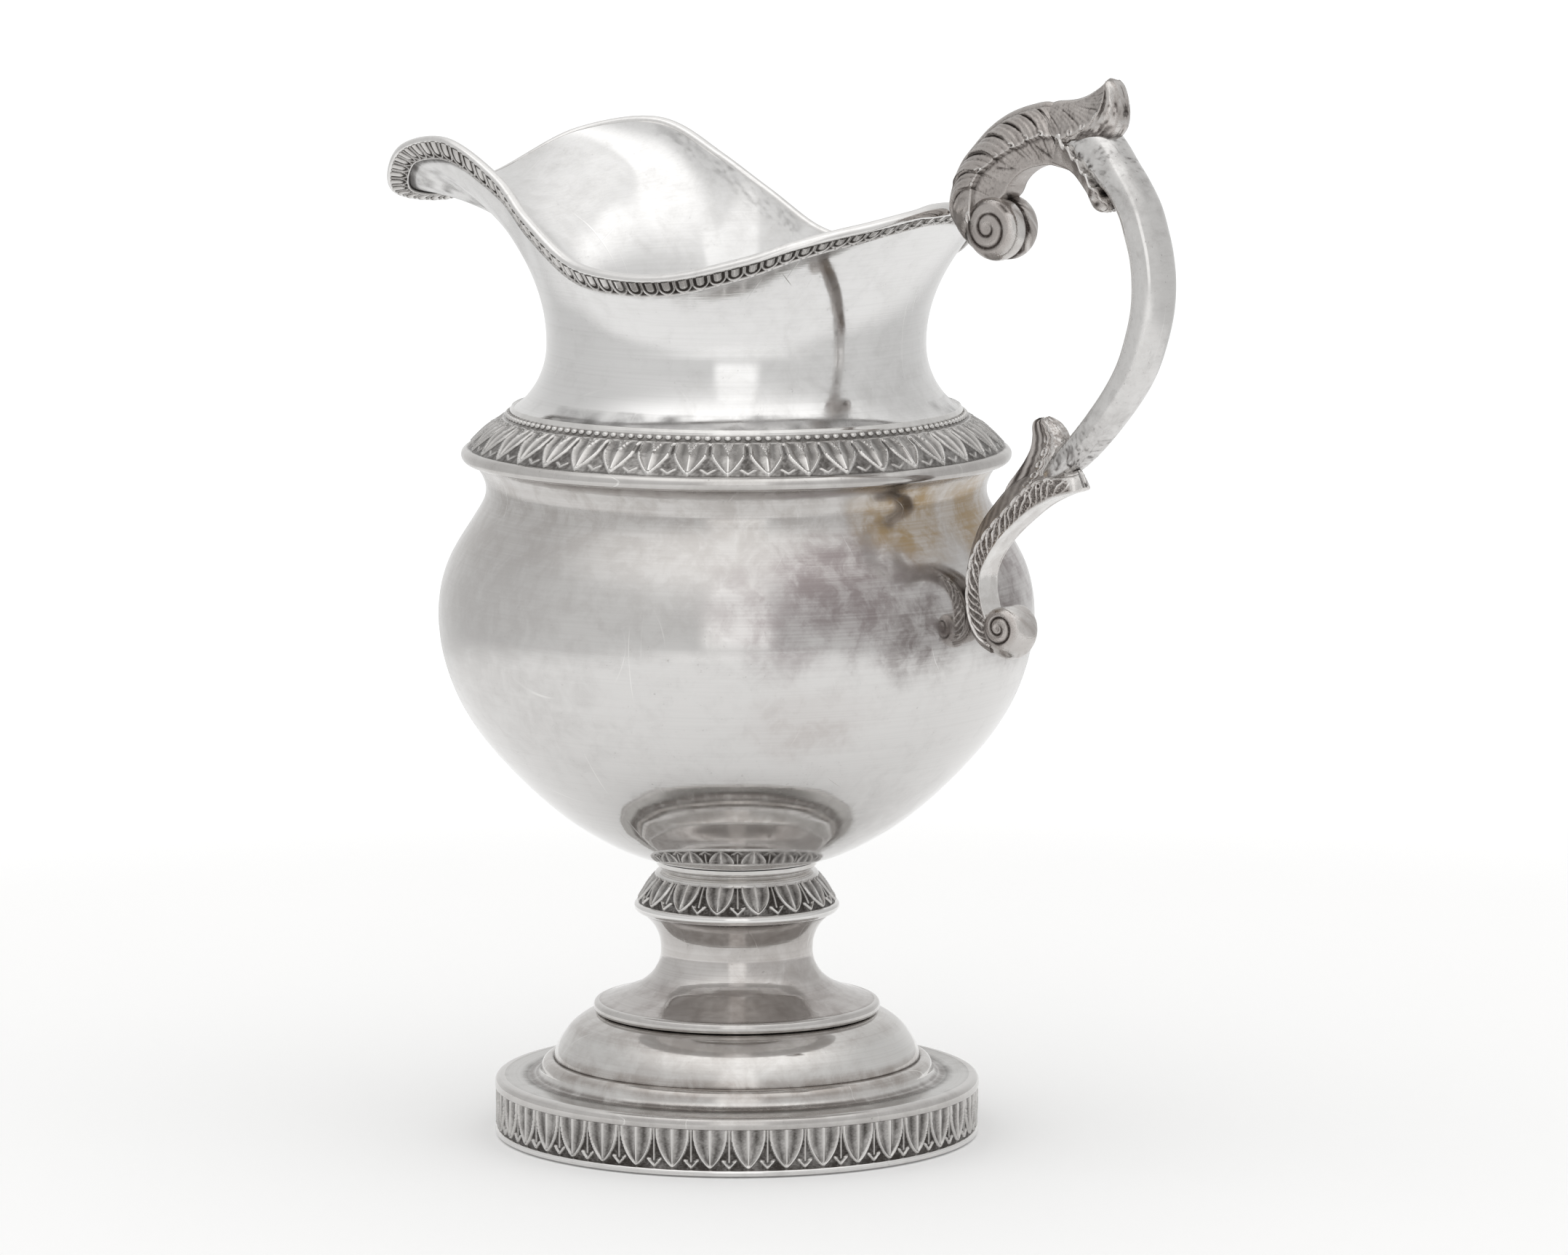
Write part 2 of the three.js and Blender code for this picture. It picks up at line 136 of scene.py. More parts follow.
class Shell:
    """Collects closed skins, each turned so that its faces look outwards."""

    def __init__(self):
        self.v, self.q, self.t, self.c, self.n = [], [], [], [], 0

    def add(self, verts, quads, tris=None, cavity=None):
        verts = np.asarray(verts, float).reshape(-1, 3)
        tris = np.zeros((0, 3), int) if tris is None else np.asarray(tris, int).reshape(-1, 3)
        f = np.concatenate([quads[:, [0, 1, 2]], quads[:, [0, 2, 3]], tris])
        mid = verts.mean(0)
        a, b, c = verts[f[:, 0]] - mid, verts[f[:, 1]] - mid, verts[f[:, 2]] - mid
        if np.einsum("ij,ij->i", a, np.cross(b, c)).sum() < 0:
            quads, tris = quads[:, ::-1], tris[:, ::-1]
        self.v.append(verts)
        self.q.append(quads + self.n)
        self.t.append(tris + self.n)
        self.c.append(np.zeros(len(verts)) if cavity is None else np.asarray(cavity, float).ravel())
        self.n += len(verts)
        return self

    def ring(self, p, cavity=None):
        """Grid closed in both directions."""
        nu, nv = p.shape[:2]
        return self.add(p, grid_quads(nu, nv, True, True), None, cavity)

    def tube(self, p, cavity=None, cap=0.5):
        """Closed sections along a run, with a fan at each end."""
        nu, nv = p.shape[:2]
        v = np.concatenate([p.reshape(-1, 3), p[0].mean(0)[None], p[-1].mean(0)[None]])
        j = np.arange(nv)
        k = (j + 1) % nv
        a, b = nu * nv, nu * nv + 1
        tris = np.concatenate([np.stack([np.full(nv, a), k, j], -1),
                               np.stack([np.full(nv, b), (nu - 1) * nv + j, (nu - 1) * nv + k], -1)])
        c = None if cavity is None else np.r_[np.asarray(cavity).ravel(), cap, cap]
        return self.add(v, grid_quads(nu, nv, False, True), tris, c)

    def poles(self, p, cavity=None):
        """Rings round an axis whose first and last columns shrink to a point."""
        nu, nv = p.shape[:2]
        inner = p[:, 1:-1]
        m = nv - 2
        v = np.concatenate([inner.reshape(-1, 3), p[:, 0].mean(0)[None], p[:, -1].mean(0)[None]])
        i = np.arange(nu)
        k = (i + 1) % nu
        a, b = nu * m, nu * m + 1
        tris = np.concatenate([np.stack([np.full(nu, a), i * m, k * m], -1),
                               np.stack([np.full(nu, b), k * m + m - 1, i * m + m - 1], -1)])
        quads = grid_quads(nu, m, True, False)[:, ::-1]
        c = None if cavity is None else np.r_[np.asarray(cavity)[:, 1:-1].ravel(), np.mean(np.asarray(cavity)[:, 0]),
                                              np.mean(np.asarray(cavity)[:, -1])]
        return self.add(v, quads, tris, c)

    def make(self, name, material, slot, nodes, sharp=55):
        v = np.concatenate(self.v) * 0.001
        v[:, 0] += AXIS_X
        q, t = np.concatenate(self.q), np.concatenate(self.t)
        me = bpy.data.meshes.new(name)
        me.vertices.add(len(v))
        me.vertices.foreach_set("co", v.astype(np.float32).ravel())
        loops = np.concatenate([q.ravel(), t.ravel()]).astype(np.int32)
        starts = np.concatenate([np.arange(len(q)) * 4, len(q) * 4 + np.arange(len(t)) * 3]).astype(np.int32)
        me.loops.add(len(loops))
        me.loops.foreach_set("vertex_index", loops)
        me.polygons.add(len(starts))
        me.polygons.foreach_set("loop_start", starts)
        me.update(calc_edges=True)
        me.validate()
        me.polygons.foreach_set("use_smooth", np.ones(len(me.polygons), bool))
        att = me.attributes.new("cavity", "FLOAT", "POINT")
        att.data.foreach_set("value", np.clip(np.concatenate(self.c), -1, 1).astype(np.float32))
        if sharp:
            me.set_sharp_from_angle(angle=math.radians(sharp))
        me.materials.append(material)
        ob = bpy.data.objects.new(name, me)
        scene.collection.objects.link(ob)
        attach(ob, "root")
        if nodes:
            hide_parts(*nodes)
        return ob


def turn(section, seg):
    """Points of a section of [radius, height] swept round the axis."""
    s = np.asarray(section, float)
    th = np.linspace(0, 2 * np.pi, seg, endpoint=False)
    return np.stack([-np.outer(np.cos(th), s[:, 0]), -np.outer(np.sin(th), s[:, 0]),
                     np.broadcast_to(s[:, 1], (seg, len(s)))], -1)


def sheet(outer, wall):
    return np.concatenate([outer, offset(outer, -wall)[::-1]])


# ---------------------------------------------------------------- node helpers
def node(tree, kind, _props=None, **inputs):
    n = tree.nodes.new(kind)
    for k, v in (_props or {}).items():
        setattr(n, k, v)
    for k, v in inputs.items():
        key = int(k[1:]) if k[0] == "i" and k[1:].isdigit() else k.replace("_", " ")
        if isinstance(v, bpy.types.NodeSocket):
            tree.links.new(v, n.inputs[key])
        else:
            n.inputs[key].default_value = v
    return n


def math_node(tree, op, a, b=0.0, c=0.0, clamp=False):
    n = tree.nodes.new("ShaderNodeMath")
    n.operation, n.use_clamp = op, clamp
    for i, v in enumerate((a, b, c)):
        if isinstance(v, bpy.types.NodeSocket):
            tree.links.new(v, n.inputs[i])
        else:
            n.inputs[i].default_value = v
    return n.outputs[0]


def ramp_range(tree, value, a, b, to0=0.0, to1=1.0):
    n = tree.nodes.new("ShaderNodeMapRange")
    n.interpolation_type = "SMOOTHSTEP"
    tree.links.new(value, n.inputs["Value"])
    for k, v in (("From Min", a), ("From Max", b), ("To Min", to0), ("To Max", to1)):
        n.inputs[k].default_value = v
    return n.outputs["Result"]


def mix_colour(tree, factor, a, b):
    n = tree.nodes.new("ShaderNodeMix")
    n.data_type = "RGBA"
    for socket, v in ((n.inputs[0], factor), (n.inputs[6], a), (n.inputs[7], b)):
        if isinstance(v, bpy.types.NodeSocket):
            tree.links.new(v, socket)
        else:
            socket.default_value = v
    return n.outputs[2]


def noise(tree, vector, scale, detail=4.0, rough=0.55, dims="3D", w=None, distort=0.0):
    n = tree.nodes.new("ShaderNodeTexNoise")
    n.noise_dimensions = dims
    tree.links.new(vector, n.inputs["Vector"])
    n.inputs["Scale"].default_value = scale
    n.inputs["Detail"].default_value = detail
    n.inputs["Roughness"].default_value = rough
    n.inputs["Distortion"].default_value = distort
    if w is not None:
        tree.links.new(w, n.inputs["W"])
    return n.outputs["Fac"]


def scaled(tree, vector, v, rotation=None):
    n = tree.nodes.new("ShaderNodeMapping")
    tree.links.new(vector, n.inputs["Vector"])
    n.inputs["Scale"].default_value = v
    if rotation:
        n.inputs["Rotation"].default_value = rotation
    return n.outputs["Vector"]


def rgba(r, g, b):
    return (r, g, b, 1.0)


def silver(name, base, dull, deep, patch=(0.5, 0.72), patch_amount=0.5, rough=(0.16, 0.34), turned=True,
           lines=0.5, specks=0.5, recess=True, stains=(), shade_and_tarnish_belts=(), waves=0.0, stipple=0.0, grain=240.0,
           bright=(0.80, 0.79, 0.775, 1.0), mottle=0.7):
    """Old silver: a bright metal with patchy tarnish, brush lines, scratches and specks, dark in its recesses from
    tarnish and from the painted shade that some meshes store in their cavity attribute.
    """
    mat = bpy.data.materials.new(name)
    mat.use_nodes = True
    t = mat.node_tree
    t.nodes.clear()
    out = t.nodes.new("ShaderNodeOutputMaterial")
    bsdf = t.nodes.new("ShaderNodeBsdfPrincipled")
    t.links.new(bsdf.outputs[0], out.inputs["Surface"])
    bsdf.inputs["Metallic"].default_value = 1.0

    pos = t.nodes.new("ShaderNodeTexCoord").outputs["Object"]
    centred = node(t, "ShaderNodeVectorMath", {"operation": "SUBTRACT"}, i0=pos, i1=(AXIS_X, 0, 0)).outputs[0]
    flat = node(t, "ShaderNodeVectorMath", {"operation": "MULTIPLY"}, i0=centred, i1=(1, 1, 0)).outputs[0]
    radius = node(t, "ShaderNodeVectorMath", {"operation": "LENGTH"}, i0=flat).outputs["Value"]

    # tarnish in clouds of several sizes
    large = noise(t, centred, 21.0, 3.0, 0.5)
    cloud = noise(t, centred, grain, 7.0, 0.66, distort=0.4)
    fine = noise(t, centred, grain * 7, 4.0, 0.6)
    mixed = math_node(t, "ADD", math_node(t, "MULTIPLY", large, 0.55), math_node(t, "MULTIPLY", cloud, 0.45))
    patches = ramp_range(t, mixed, *patch)
    speck = math_node(t, "MULTIPLY", ramp_range(t, fine, 0.63, 0.74), ramp_range(t, cloud, 0.42, 0.62))

    # brush lines: round the axis on turned pieces, along no one way elsewhere
    if turned:
        stretched = scaled(t, centred, (26, 26, 2600))
        brushed = noise(t, stretched, 1.0, 3.0, 0.6, "4D", math_node(t, "MULTIPLY", radius, 2600.0))
    else:
        brushed = noise(t, scaled(t, centred, (1500, 160, 900), (0.3, 0.8, 0.1)), 1.0, 3.0, 0.6)
    scratch_a = noise(t, scaled(t, centred, (30, 2300, 30), (0.5, 0.4, 0.7)), 1.0, 2.0, 0.5)
    scratch_b = noise(t, scaled(t, centred, (2300, 28, 34), (0.9, 0.2, 0.3)), 1.0, 2.0, 0.5)
    scratches = math_node(t, "MULTIPLY",
                          math_node(t, "MAXIMUM", ramp_range(t, scratch_a, 0.70, 0.76), ramp_range(t, scratch_b, 0.71, 0.77)),
                          ramp_range(t, noise(t, centred, 60.0, 2.0), 0.45, 0.6))

    colour = mix_colour(t, math_node(t, "MULTIPLY", patches, patch_amount), base, dull)
    colour = mix_colour(t, math_node(t, "MULTIPLY", ramp_range(t, brushed, 0.40, 0.72), 0.10 + 0.16 * lines), colour, dull)
    colour = mix_colour(t, math_node(t, "MULTIPLY", speck, specks), colour, deep)
    rough_sum = math_node(t, "ADD", math_node(t, "MULTIPLY", patches, 0.55), math_node(t, "MULTIPLY", brushed, 0.45))
    roughness = ramp_range(t, rough_sum, 0.1, 0.85, rough[0], rough[1])

    # darkening in belts of height, uneven at their edges: tarnish, and on the bowl and the foot also painted shade and
    # reflection
    for z0, z1, soft, tint, strength in shade_and_tarnish_belts:
        level = t.nodes.new("ShaderNodeSeparateXYZ")
        t.links.new(centred, level.inputs[0])
        uneven = math_node(t, "ADD", level.outputs[2], math_node(t, "MULTIPLY", math_node(t, "SUBTRACT", noise(t, centred, 48.0, 6.0, 0.62), 0.5), soft * 0.0016))
        mask = math_node(t, "MULTIPLY", ramp_range(t, uneven, (z0 - soft) / 1000, z0 / 1000), ramp_range(t, uneven, (z1 + soft) / 1000, z1 / 1000))
        mask = math_node(t, "MULTIPLY", math_node(t, "MULTIPLY", mask, strength), math_node(t, "ADD", ramp_range(t, brushed, 0.34, 0.64, 0.70, 0.86), ramp_range(t, cloud, 0.40, 0.64, -0.24, 0.24)))
        colour = mix_colour(t, mask, colour, tint)

    # local stains, each an uneven patch round a point on both sides of the jug
    for (x, y, z), size, tint, strength in stains:
        side = node(t, "ShaderNodeVectorMath", {"operation": "ABSOLUTE"}, i0=centred).outputs[0]
        parts = t.nodes.new("ShaderNodeSeparateXYZ")
        t.links.new(centred, parts.inputs[0])
        mirrored = t.nodes.new("ShaderNodeSeparateXYZ")
        t.links.new(side, mirrored.inputs[0])
        folded = node(t, "ShaderNodeCombineXYZ", None, X=parts.outputs[0], Y=mirrored.outputs[1], Z=parts.outputs[2]).outputs[0]
        gap = node(t, "ShaderNodeVectorMath", {"operation": "SUBTRACT"}, i0=folded, i1=(x / 1000, y / 1000, z / 1000)).outputs[0]
        gap = node(t, "ShaderNodeVectorMath", {"operation": "DIVIDE"}, i0=gap, i1=tuple(s / 1000 for s in size)).outputs[0]
        far = node(t, "ShaderNodeVectorMath", {"operation": "LENGTH"}, i0=gap).outputs["Value"]
        wobble = math_node(t, "ADD", far, math_node(t, "MULTIPLY", math_node(t, "SUBTRACT", noise(t, centred, 75.0, 6.0, 0.65), 0.5), 1.25))
        mask = math_node(t, "MULTIPLY", ramp_range(t, wobble, 1.0, 0.25), strength)
        mask = math_node(t, "MULTIPLY", mask, math_node(t, "ADD", ramp_range(t, brushed, 0.36, 0.62, 0.72, 0.92), ramp_range(t, cloud, 0.40, 0.64, -0.30, 0.22)))
        colour = mix_colour(t, mask, colour, tint)
        roughness = math_node(t, "ADD", roughness, math_node(t, "MULTIPLY", mask, 0.05))

    if recess:
        cav = t.nodes.new("ShaderNodeAttribute")
        cav.attribute_name = "cavity"
        rubbed = math_node(t, "MULTIPLY", math_node(t, "MULTIPLY", cav.outputs["Fac"], -1.0, clamp=True), ramp_range(t, cloud, 0.38, 0.6, 1.0, mottle))
        colour = mix_colour(t, math_node(t, "MULTIPLY", rubbed, 0.88), colour, bright)
        roughness = math_node(t, "MULTIPLY", roughness, math_node(t, "MULTIPLY_ADD", rubbed, -0.68, 1.0))
        # the positive cavity darkens the colour: tarnish in recesses, together with painted shade where a mesh stores
        # it in the cavity attribute
        tarnish_and_shade = math_node(t, "MULTIPLY", math_node(t, "MAXIMUM", cav.outputs["Fac"], 0.0), ramp_range(t, cloud, 0.25, 0.6, 0.7, 1.0))
        colour = mix_colour(t, ramp_range(t, tarnish_and_shade, 0.15, 0.95), colour, deep)
        roughness = math_node(t, "ADD", roughness, math_node(t, "MULTIPLY", tarnish_and_shade, 0.25))

    colour = mix_colour(t, math_node(t, "MULTIPLY", scratches, 0.42), colour, rgba(0.95, 0.94, 0.92))
    t.links.new(colour, bsdf.inputs["Base Color"])
    t.links.new(roughness, bsdf.inputs["Roughness"])

    height = math_node(t, "ADD", math_node(t, "MULTIPLY", brushed, 0.35 * lines), math_node(t, "MULTIPLY", speck, -0.5 * specks))
    height = math_node(t, "ADD", height, math_node(t, "MULTIPLY", scratches, -0.7))
    if stipple:
        dots = t.nodes.new("ShaderNodeTexVoronoi")
        dots.feature = "F1"
        t.links.new(centred, dots.inputs["Vector"])
        dots.inputs["Scale"].default_value = 3300.0
        dotted = math_node(t, "MULTIPLY", ramp_range(t, dots.outputs["Distance"], 0.1, 0.55), math_node(t, "MULTIPLY_ADD", rubbed, -stipple, stipple))
        height = math_node(t, "ADD", height, dotted)
        pits = math_node(t, "MULTIPLY", ramp_range(t, dots.outputs["Distance"], 0.34, 0.12), math_node(t, "MULTIPLY_ADD", rubbed, -0.55, 0.6))
        t.links.new(mix_colour(t, pits, colour, dull), bsdf.inputs["Base Color"])
    bump = node(t, "ShaderNodeBump", None, Height=height, Strength=0.22, Distance=0.00012)
    if waves:
        dents = noise(t, centred, 26.0, 1.5, 0.45)
        soft = node(t, "ShaderNodeBump", None, Height=dents, Strength=waves, Distance=0.0022, Normal=bump.outputs[0])
        t.links.new(soft.outputs[0], bsdf.inputs["Normal"])
    else:
        t.links.new(bump.outputs[0], bsdf.inputs["Normal"])
    return mat


GREY = rgba(0.44, 0.425, 0.41)
DARK = rgba(0.05, 0.044, 0.040)
# the bowl's belts darken its upper slope towards the shoulder: tarnish together with painted shade under the
# overhanging shoulder wire
M_BOWL = silver("bowl_silver", rgba(0.70, 0.69, 0.68), rgba(0.52, 0.505, 0.495), rgba(0.2, 0.18, 0.17), (0.42, 0.64), 0.5, (0.05, 0.18),
                waves=0.09, lines=0.28, specks=0.4,
                shade_and_tarnish_belts=((108, 121, 9, rgba(0.42, 0.395, 0.375), 0.72), (97, 108, 7, rgba(0.56, 0.54, 0.525), 0.5)),
                stains=(((40, 31, 79), (15, 14, 9), rgba(0.55, 0.515, 0.50), 0.6),
                        ((37, 34.5, 100), (19, 16, 14), rgba(0.40, 0.365, 0.365), 0.8),
                        ((44, 24, 102.5), (20, 21, 16), rgba(0.29, 0.253, 0.252), 0.95),
                        ((43.6, 9, 113), (15, 15, 10), rgba(0.37, 0.275, 0.165), 0.95),
                        ((50.7, 12, 94.5), (10, 13, 11.5), rgba(0.21, 0.182, 0.178), 0.85)))
M_NECK = silver("neck_silver", rgba(0.78, 0.775, 0.77), rgba(0.56, 0.55, 0.54), rgba(0.07, 0.064, 0.06), (0.44, 0.70), 0.6, (0.06, 0.20), waves=0.22,
                lines=0.4, specks=0.25)
# the foot's belts are painted reflection and shade: a dark band round the foot of the dome and the top of the step
# ring, and a painted shadow on the top of the dome under the flange wire
M_FOOT = silver("foot_silver", rgba(0.70, 0.69, 0.675), rgba(0.43, 0.40, 0.38), rgba(0.17, 0.15, 0.14), (0.42, 0.66), 0.6,
                (0.04, 0.15), lines=0.5, specks=0.4, waves=0.05,
                shade_and_tarnish_belts=((12.6, 14.2, 1.3, rgba(0.36, 0.325, 0.30), 0.75), (19.6, 21.8, 1.6, rgba(0.40, 0.37, 0.35), 0.6)))
M_STEM = silver("stem_silver", rgba(0.60, 0.58, 0.565), rgba(0.36, 0.33, 0.31), rgba(0.15, 0.13, 0.12), (0.40, 0.64), 0.65,
                (0.05, 0.19), lines=0.7, specks=0.5, waves=0.05, shade_and_tarnish_belts=((23, 26.5, 1.6, rgba(0.30, 0.27, 0.255), 0.5),))
M_PLATE = silver("plate_silver", rgba(0.51, 0.50, 0.485), rgba(0.33, 0.315, 0.30), rgba(0.13, 0.12, 0.11), (0.42, 0.66), 0.55,
                 (0.09, 0.22), lines=0.7, specks=0.4, waves=0.04)
M_WIRE = silver("wire_silver", rgba(0.78, 0.77, 0.76), GREY, rgba(0.16, 0.15, 0.14), (0.48, 0.72), 0.45, (0.06, 0.19),
                lines=0.45, specks=0.5)
M_DULL_WIRE = silver("dull_wire_silver", rgba(0.60, 0.585, 0.57), rgba(0.38, 0.36, 0.345), rgba(0.13, 0.12, 0.11), (0.42, 0.66), 0.55, (0.06, 0.19),
                     lines=0.55, specks=0.5)
M_ROLLED = silver("rolled_silver", rgba(0.58, 0.565, 0.55), rgba(0.40, 0.38, 0.365), DARK, (0.42, 0.68), 0.45, (0.11, 0.26),
                  lines=0.3, specks=0.4)
M_GRIP = silver("grip_silver", rgba(0.70, 0.69, 0.68), rgba(0.40, 0.385, 0.375), rgba(0.10, 0.09, 0.085), (0.43, 0.62), 0.6,
                (0.10, 0.26), turned=False, lines=0.25, specks=0.8, grain=330.0, waves=0.05)
M_CAST = silver("cast_silver", rgba(0.50, 0.47, 0.45), rgba(0.36, 0.325, 0.305), rgba(0.055, 0.045, 0.04), (0.4, 0.62), 0.55,
                (0.15, 0.30), turned=False, lines=0.2, specks=0.5, stipple=0.8, grain=260.0, bright=(0.82, 0.81, 0.795, 1.0), mottle=0.65)


# ---------------------------------------------------------------- foot and stem
def joint_shade_and_tarnish(section, spots):
    """Darkness along a section of [radius, height] near some of its points: painted shade at the joints between parts
    and under overhanging wires, with tarnish.
    """
    s = np.asarray(section, float)
    c = np.zeros(len(s))
    for r, z, amount, reach in spots:
        c = np.maximum(c, amount * ridge(np.hypot(s[:, 0] - r, s[:, 1] - z), reach))
    return c


# the spots darken a piece near its joints: painted shade where parts meet and under overhanging wires, with tarnish
def ring_piece(name, section, seg, material, slot, spots=()):
    Shell().ring(turn(section, seg), np.broadcast_to(joint_shade_and_tarnish(section, spots), (seg, len(section)))).make(name, material, slot, [name])


def soft_loop(points, step=0.12, close=None):
    """Smooth run through the seen part of a section, closed by straight hidden corners."""
    run = resample(points, step)
    return np.concatenate([run, np.asarray(close, float)]) if close else run


ring_piece("plinth_base_wire", soft_loop(
    [(41.7, 0.0), (42.2, 0.05), (42.5, 0.25), (42.63, 0.55), (42.62, 0.85), (42.45, 1.08), (42.1, 1.2)], 0.1,
    [(41.0, 1.2), (39.6, 1.2), (39.6, 0.0), (40.6, 0.0)]), 288, M_WIRE, "wire_silver")
ring_piece("plinth_top_wire", soft_loop(
    [(42.0, 8.15), (42.4, 8.17), (42.62, 8.32), (42.68, 8.7), (42.67, 9.15), (42.58, 9.6), (42.35, 9.95), (41.95, 10.2), (41.4, 10.3)],
    0.12, [(40.9, 10.3), (40.9, 9.4), (40.9, 8.15)]), 288, M_DULL_WIRE, "wire_silver")
ring_piece("plinth_plate", np.array(
    [(31.0, 9.3), (35.0, 9.3), (40.95, 9.3), (40.95, 10.29), (40.0, 10.29), (38.5, 10.27), (37.0, 10.25), (35.5, 10.25), (33.0, 10.25),
     (31.0, 10.25)]), 288, M_PLATE, "raised_silver", [(36.9, 10.25, 0.8, 1.3), (40.9, 10.29, 0.4, 0.7)])
ring_piece("foot_step_ring", soft_loop(
    [(37.2, 10.22), (36.4, 10.27), (35.7, 10.4), (35.15, 10.66), (34.78, 11.0), (34.56, 11.4), (34.46, 11.85), (34.32, 12.35), (34.0, 12.85),
     (33.5, 13.25), (32.95, 13.42), (32.4, 13.42), (32.05, 13.25)], 0.12, [(31.9, 12.6), (31.9, 11.5), (31.9, 10.3), (33.5, 10.2)]), 288, M_FOOT, "wire_silver",
    [(32.1, 13.3, 0.95, 0.6), (36.3, 10.3, 0.9, 1.2), (35.2, 10.6, 0.75, 0.75)])
DOME = resample([(32.12, 12.9), (32.2, 13.4), (32.0, 14.6), (31.4, 16.0), (30.6, 17.3), (29.5, 18.7), (28.1, 19.9), (26.5, 20.85),
                 (24.6, 21.55), (23.4, 21.8)], 0.35)
ring_piece("foot_dome", sheet(DOME, 0.9), 288, M_FOOT, "raised_silver", [(32.1, 13.2, 0.7, 0.9), (24.4, 21.6, 0.6, 0.8)])
ring_piece("stem_flange_wire", soft_loop(
    [(24.2, 21.62), (24.75, 21.68), (25.08, 21.95), (25.22, 22.4), (25.2, 22.85), (25.02, 23.25), (24.7, 23.5), (24.25, 23.58)], 0.1,
    [(23.6, 23.4), (23.4, 22.6), (23.4, 21.75)]), 240, M_DULL_WIRE, "wire_silver", [(24.5, 21.6, 0.5, 0.4)])
SPOOL = resample([(24.4, 23.52), (23.6, 23.78), (22.6, 24.1), (20.0, 25.0), (17.05, 26.4), (15.33, 27.8), (14.59, 28.7), (14.07, 29.6),
                  (13.73, 30.4), (13.48, 31.3), (13.36, 32.1), (13.36, 32.9), (13.42, 33.75), (13.56, 34.6), (13.8, 35.4), (14.17, 36.25),
                  (14.68, 37.1), (15.4, 38.0), (16.3, 38.85), (16.9, 39.3)], 0.3)
ring_piece("stem_spool", sheet(SPOOL, 0.9), 240, M_STEM, "raised_silver", [(16.9, 39.3, 0.6, 1.2), (24.2, 23.6, 0.4, 0.8)])
ring_piece("knop_edge_wire", soft_loop(
    [(16.4, 39.15), (17.1, 39.28), (17.65, 39.6), (17.98, 40.05), (18.05, 40.45), (17.92, 40.85), (17.6, 41.1), (17.2, 41.18)], 0.09,
    [(15.5, 41.15), (15.5, 40.2), (15.5, 39.2)]), 200, M_WIRE, "wire_silver")
ring_piece("stem_collar", soft_loop(
    [(14.5, 45.6), (14.45, 45.95), (14.15, 46.45), (13.7, 46.78), (13.38, 46.98), (13.28, 47.16), (13.36, 47.32), (13.75, 47.45),
     (14.05, 47.7), (14.2, 48.1), (14.3, 48.5)], 0.09, [(12.0, 48.4), (12.0, 47.0), (12.0, 45.6)]), 200, M_FOOT, "raised_silver",
    [(13.28, 47.16, 0.5, 0.4), (14.5, 45.7, 0.6, 0.4)])


# ---------------------------------------------------------------- die-rolled bands
def relief_ring(base, tile, dark, units, thickness, phase=0.0):
    """A strip with a repeated relief: base is its profile, tile the heights of one unit."""
    cols, rows = tile.shape
    h, c = np.tile(tile, (units, 1)), np.tile(dark, (units, 1))
    n = units * cols
    t = np.gradient(base, axis=0)
    t /= np.linalg.norm(t, axis=1)[:, None]
    normal = np.stack([t[:, 1], -t[:, 0]], -1)
    th = 2 * np.pi * (np.arange(n) + phase * cols) / n
    r = base[:, 0] + h * normal[:, 0]
    z = base[:, 1] + h * normal[:, 1]
    back = (base - normal * thickness)[::-1][[0, rows // 2, rows - 1]]
    r = np.concatenate([r, np.broadcast_to(back[:, 0], (n, 3))], 1)
    z = np.concatenate([z, np.broadcast_to(back[:, 1], (n, 3))], 1)
    c = np.concatenate([c, np.ones((n, 3))], 1)
    return np.stack([-np.cos(th)[:, None] * r, -np.sin(th)[:, None] * r, z], -1), c


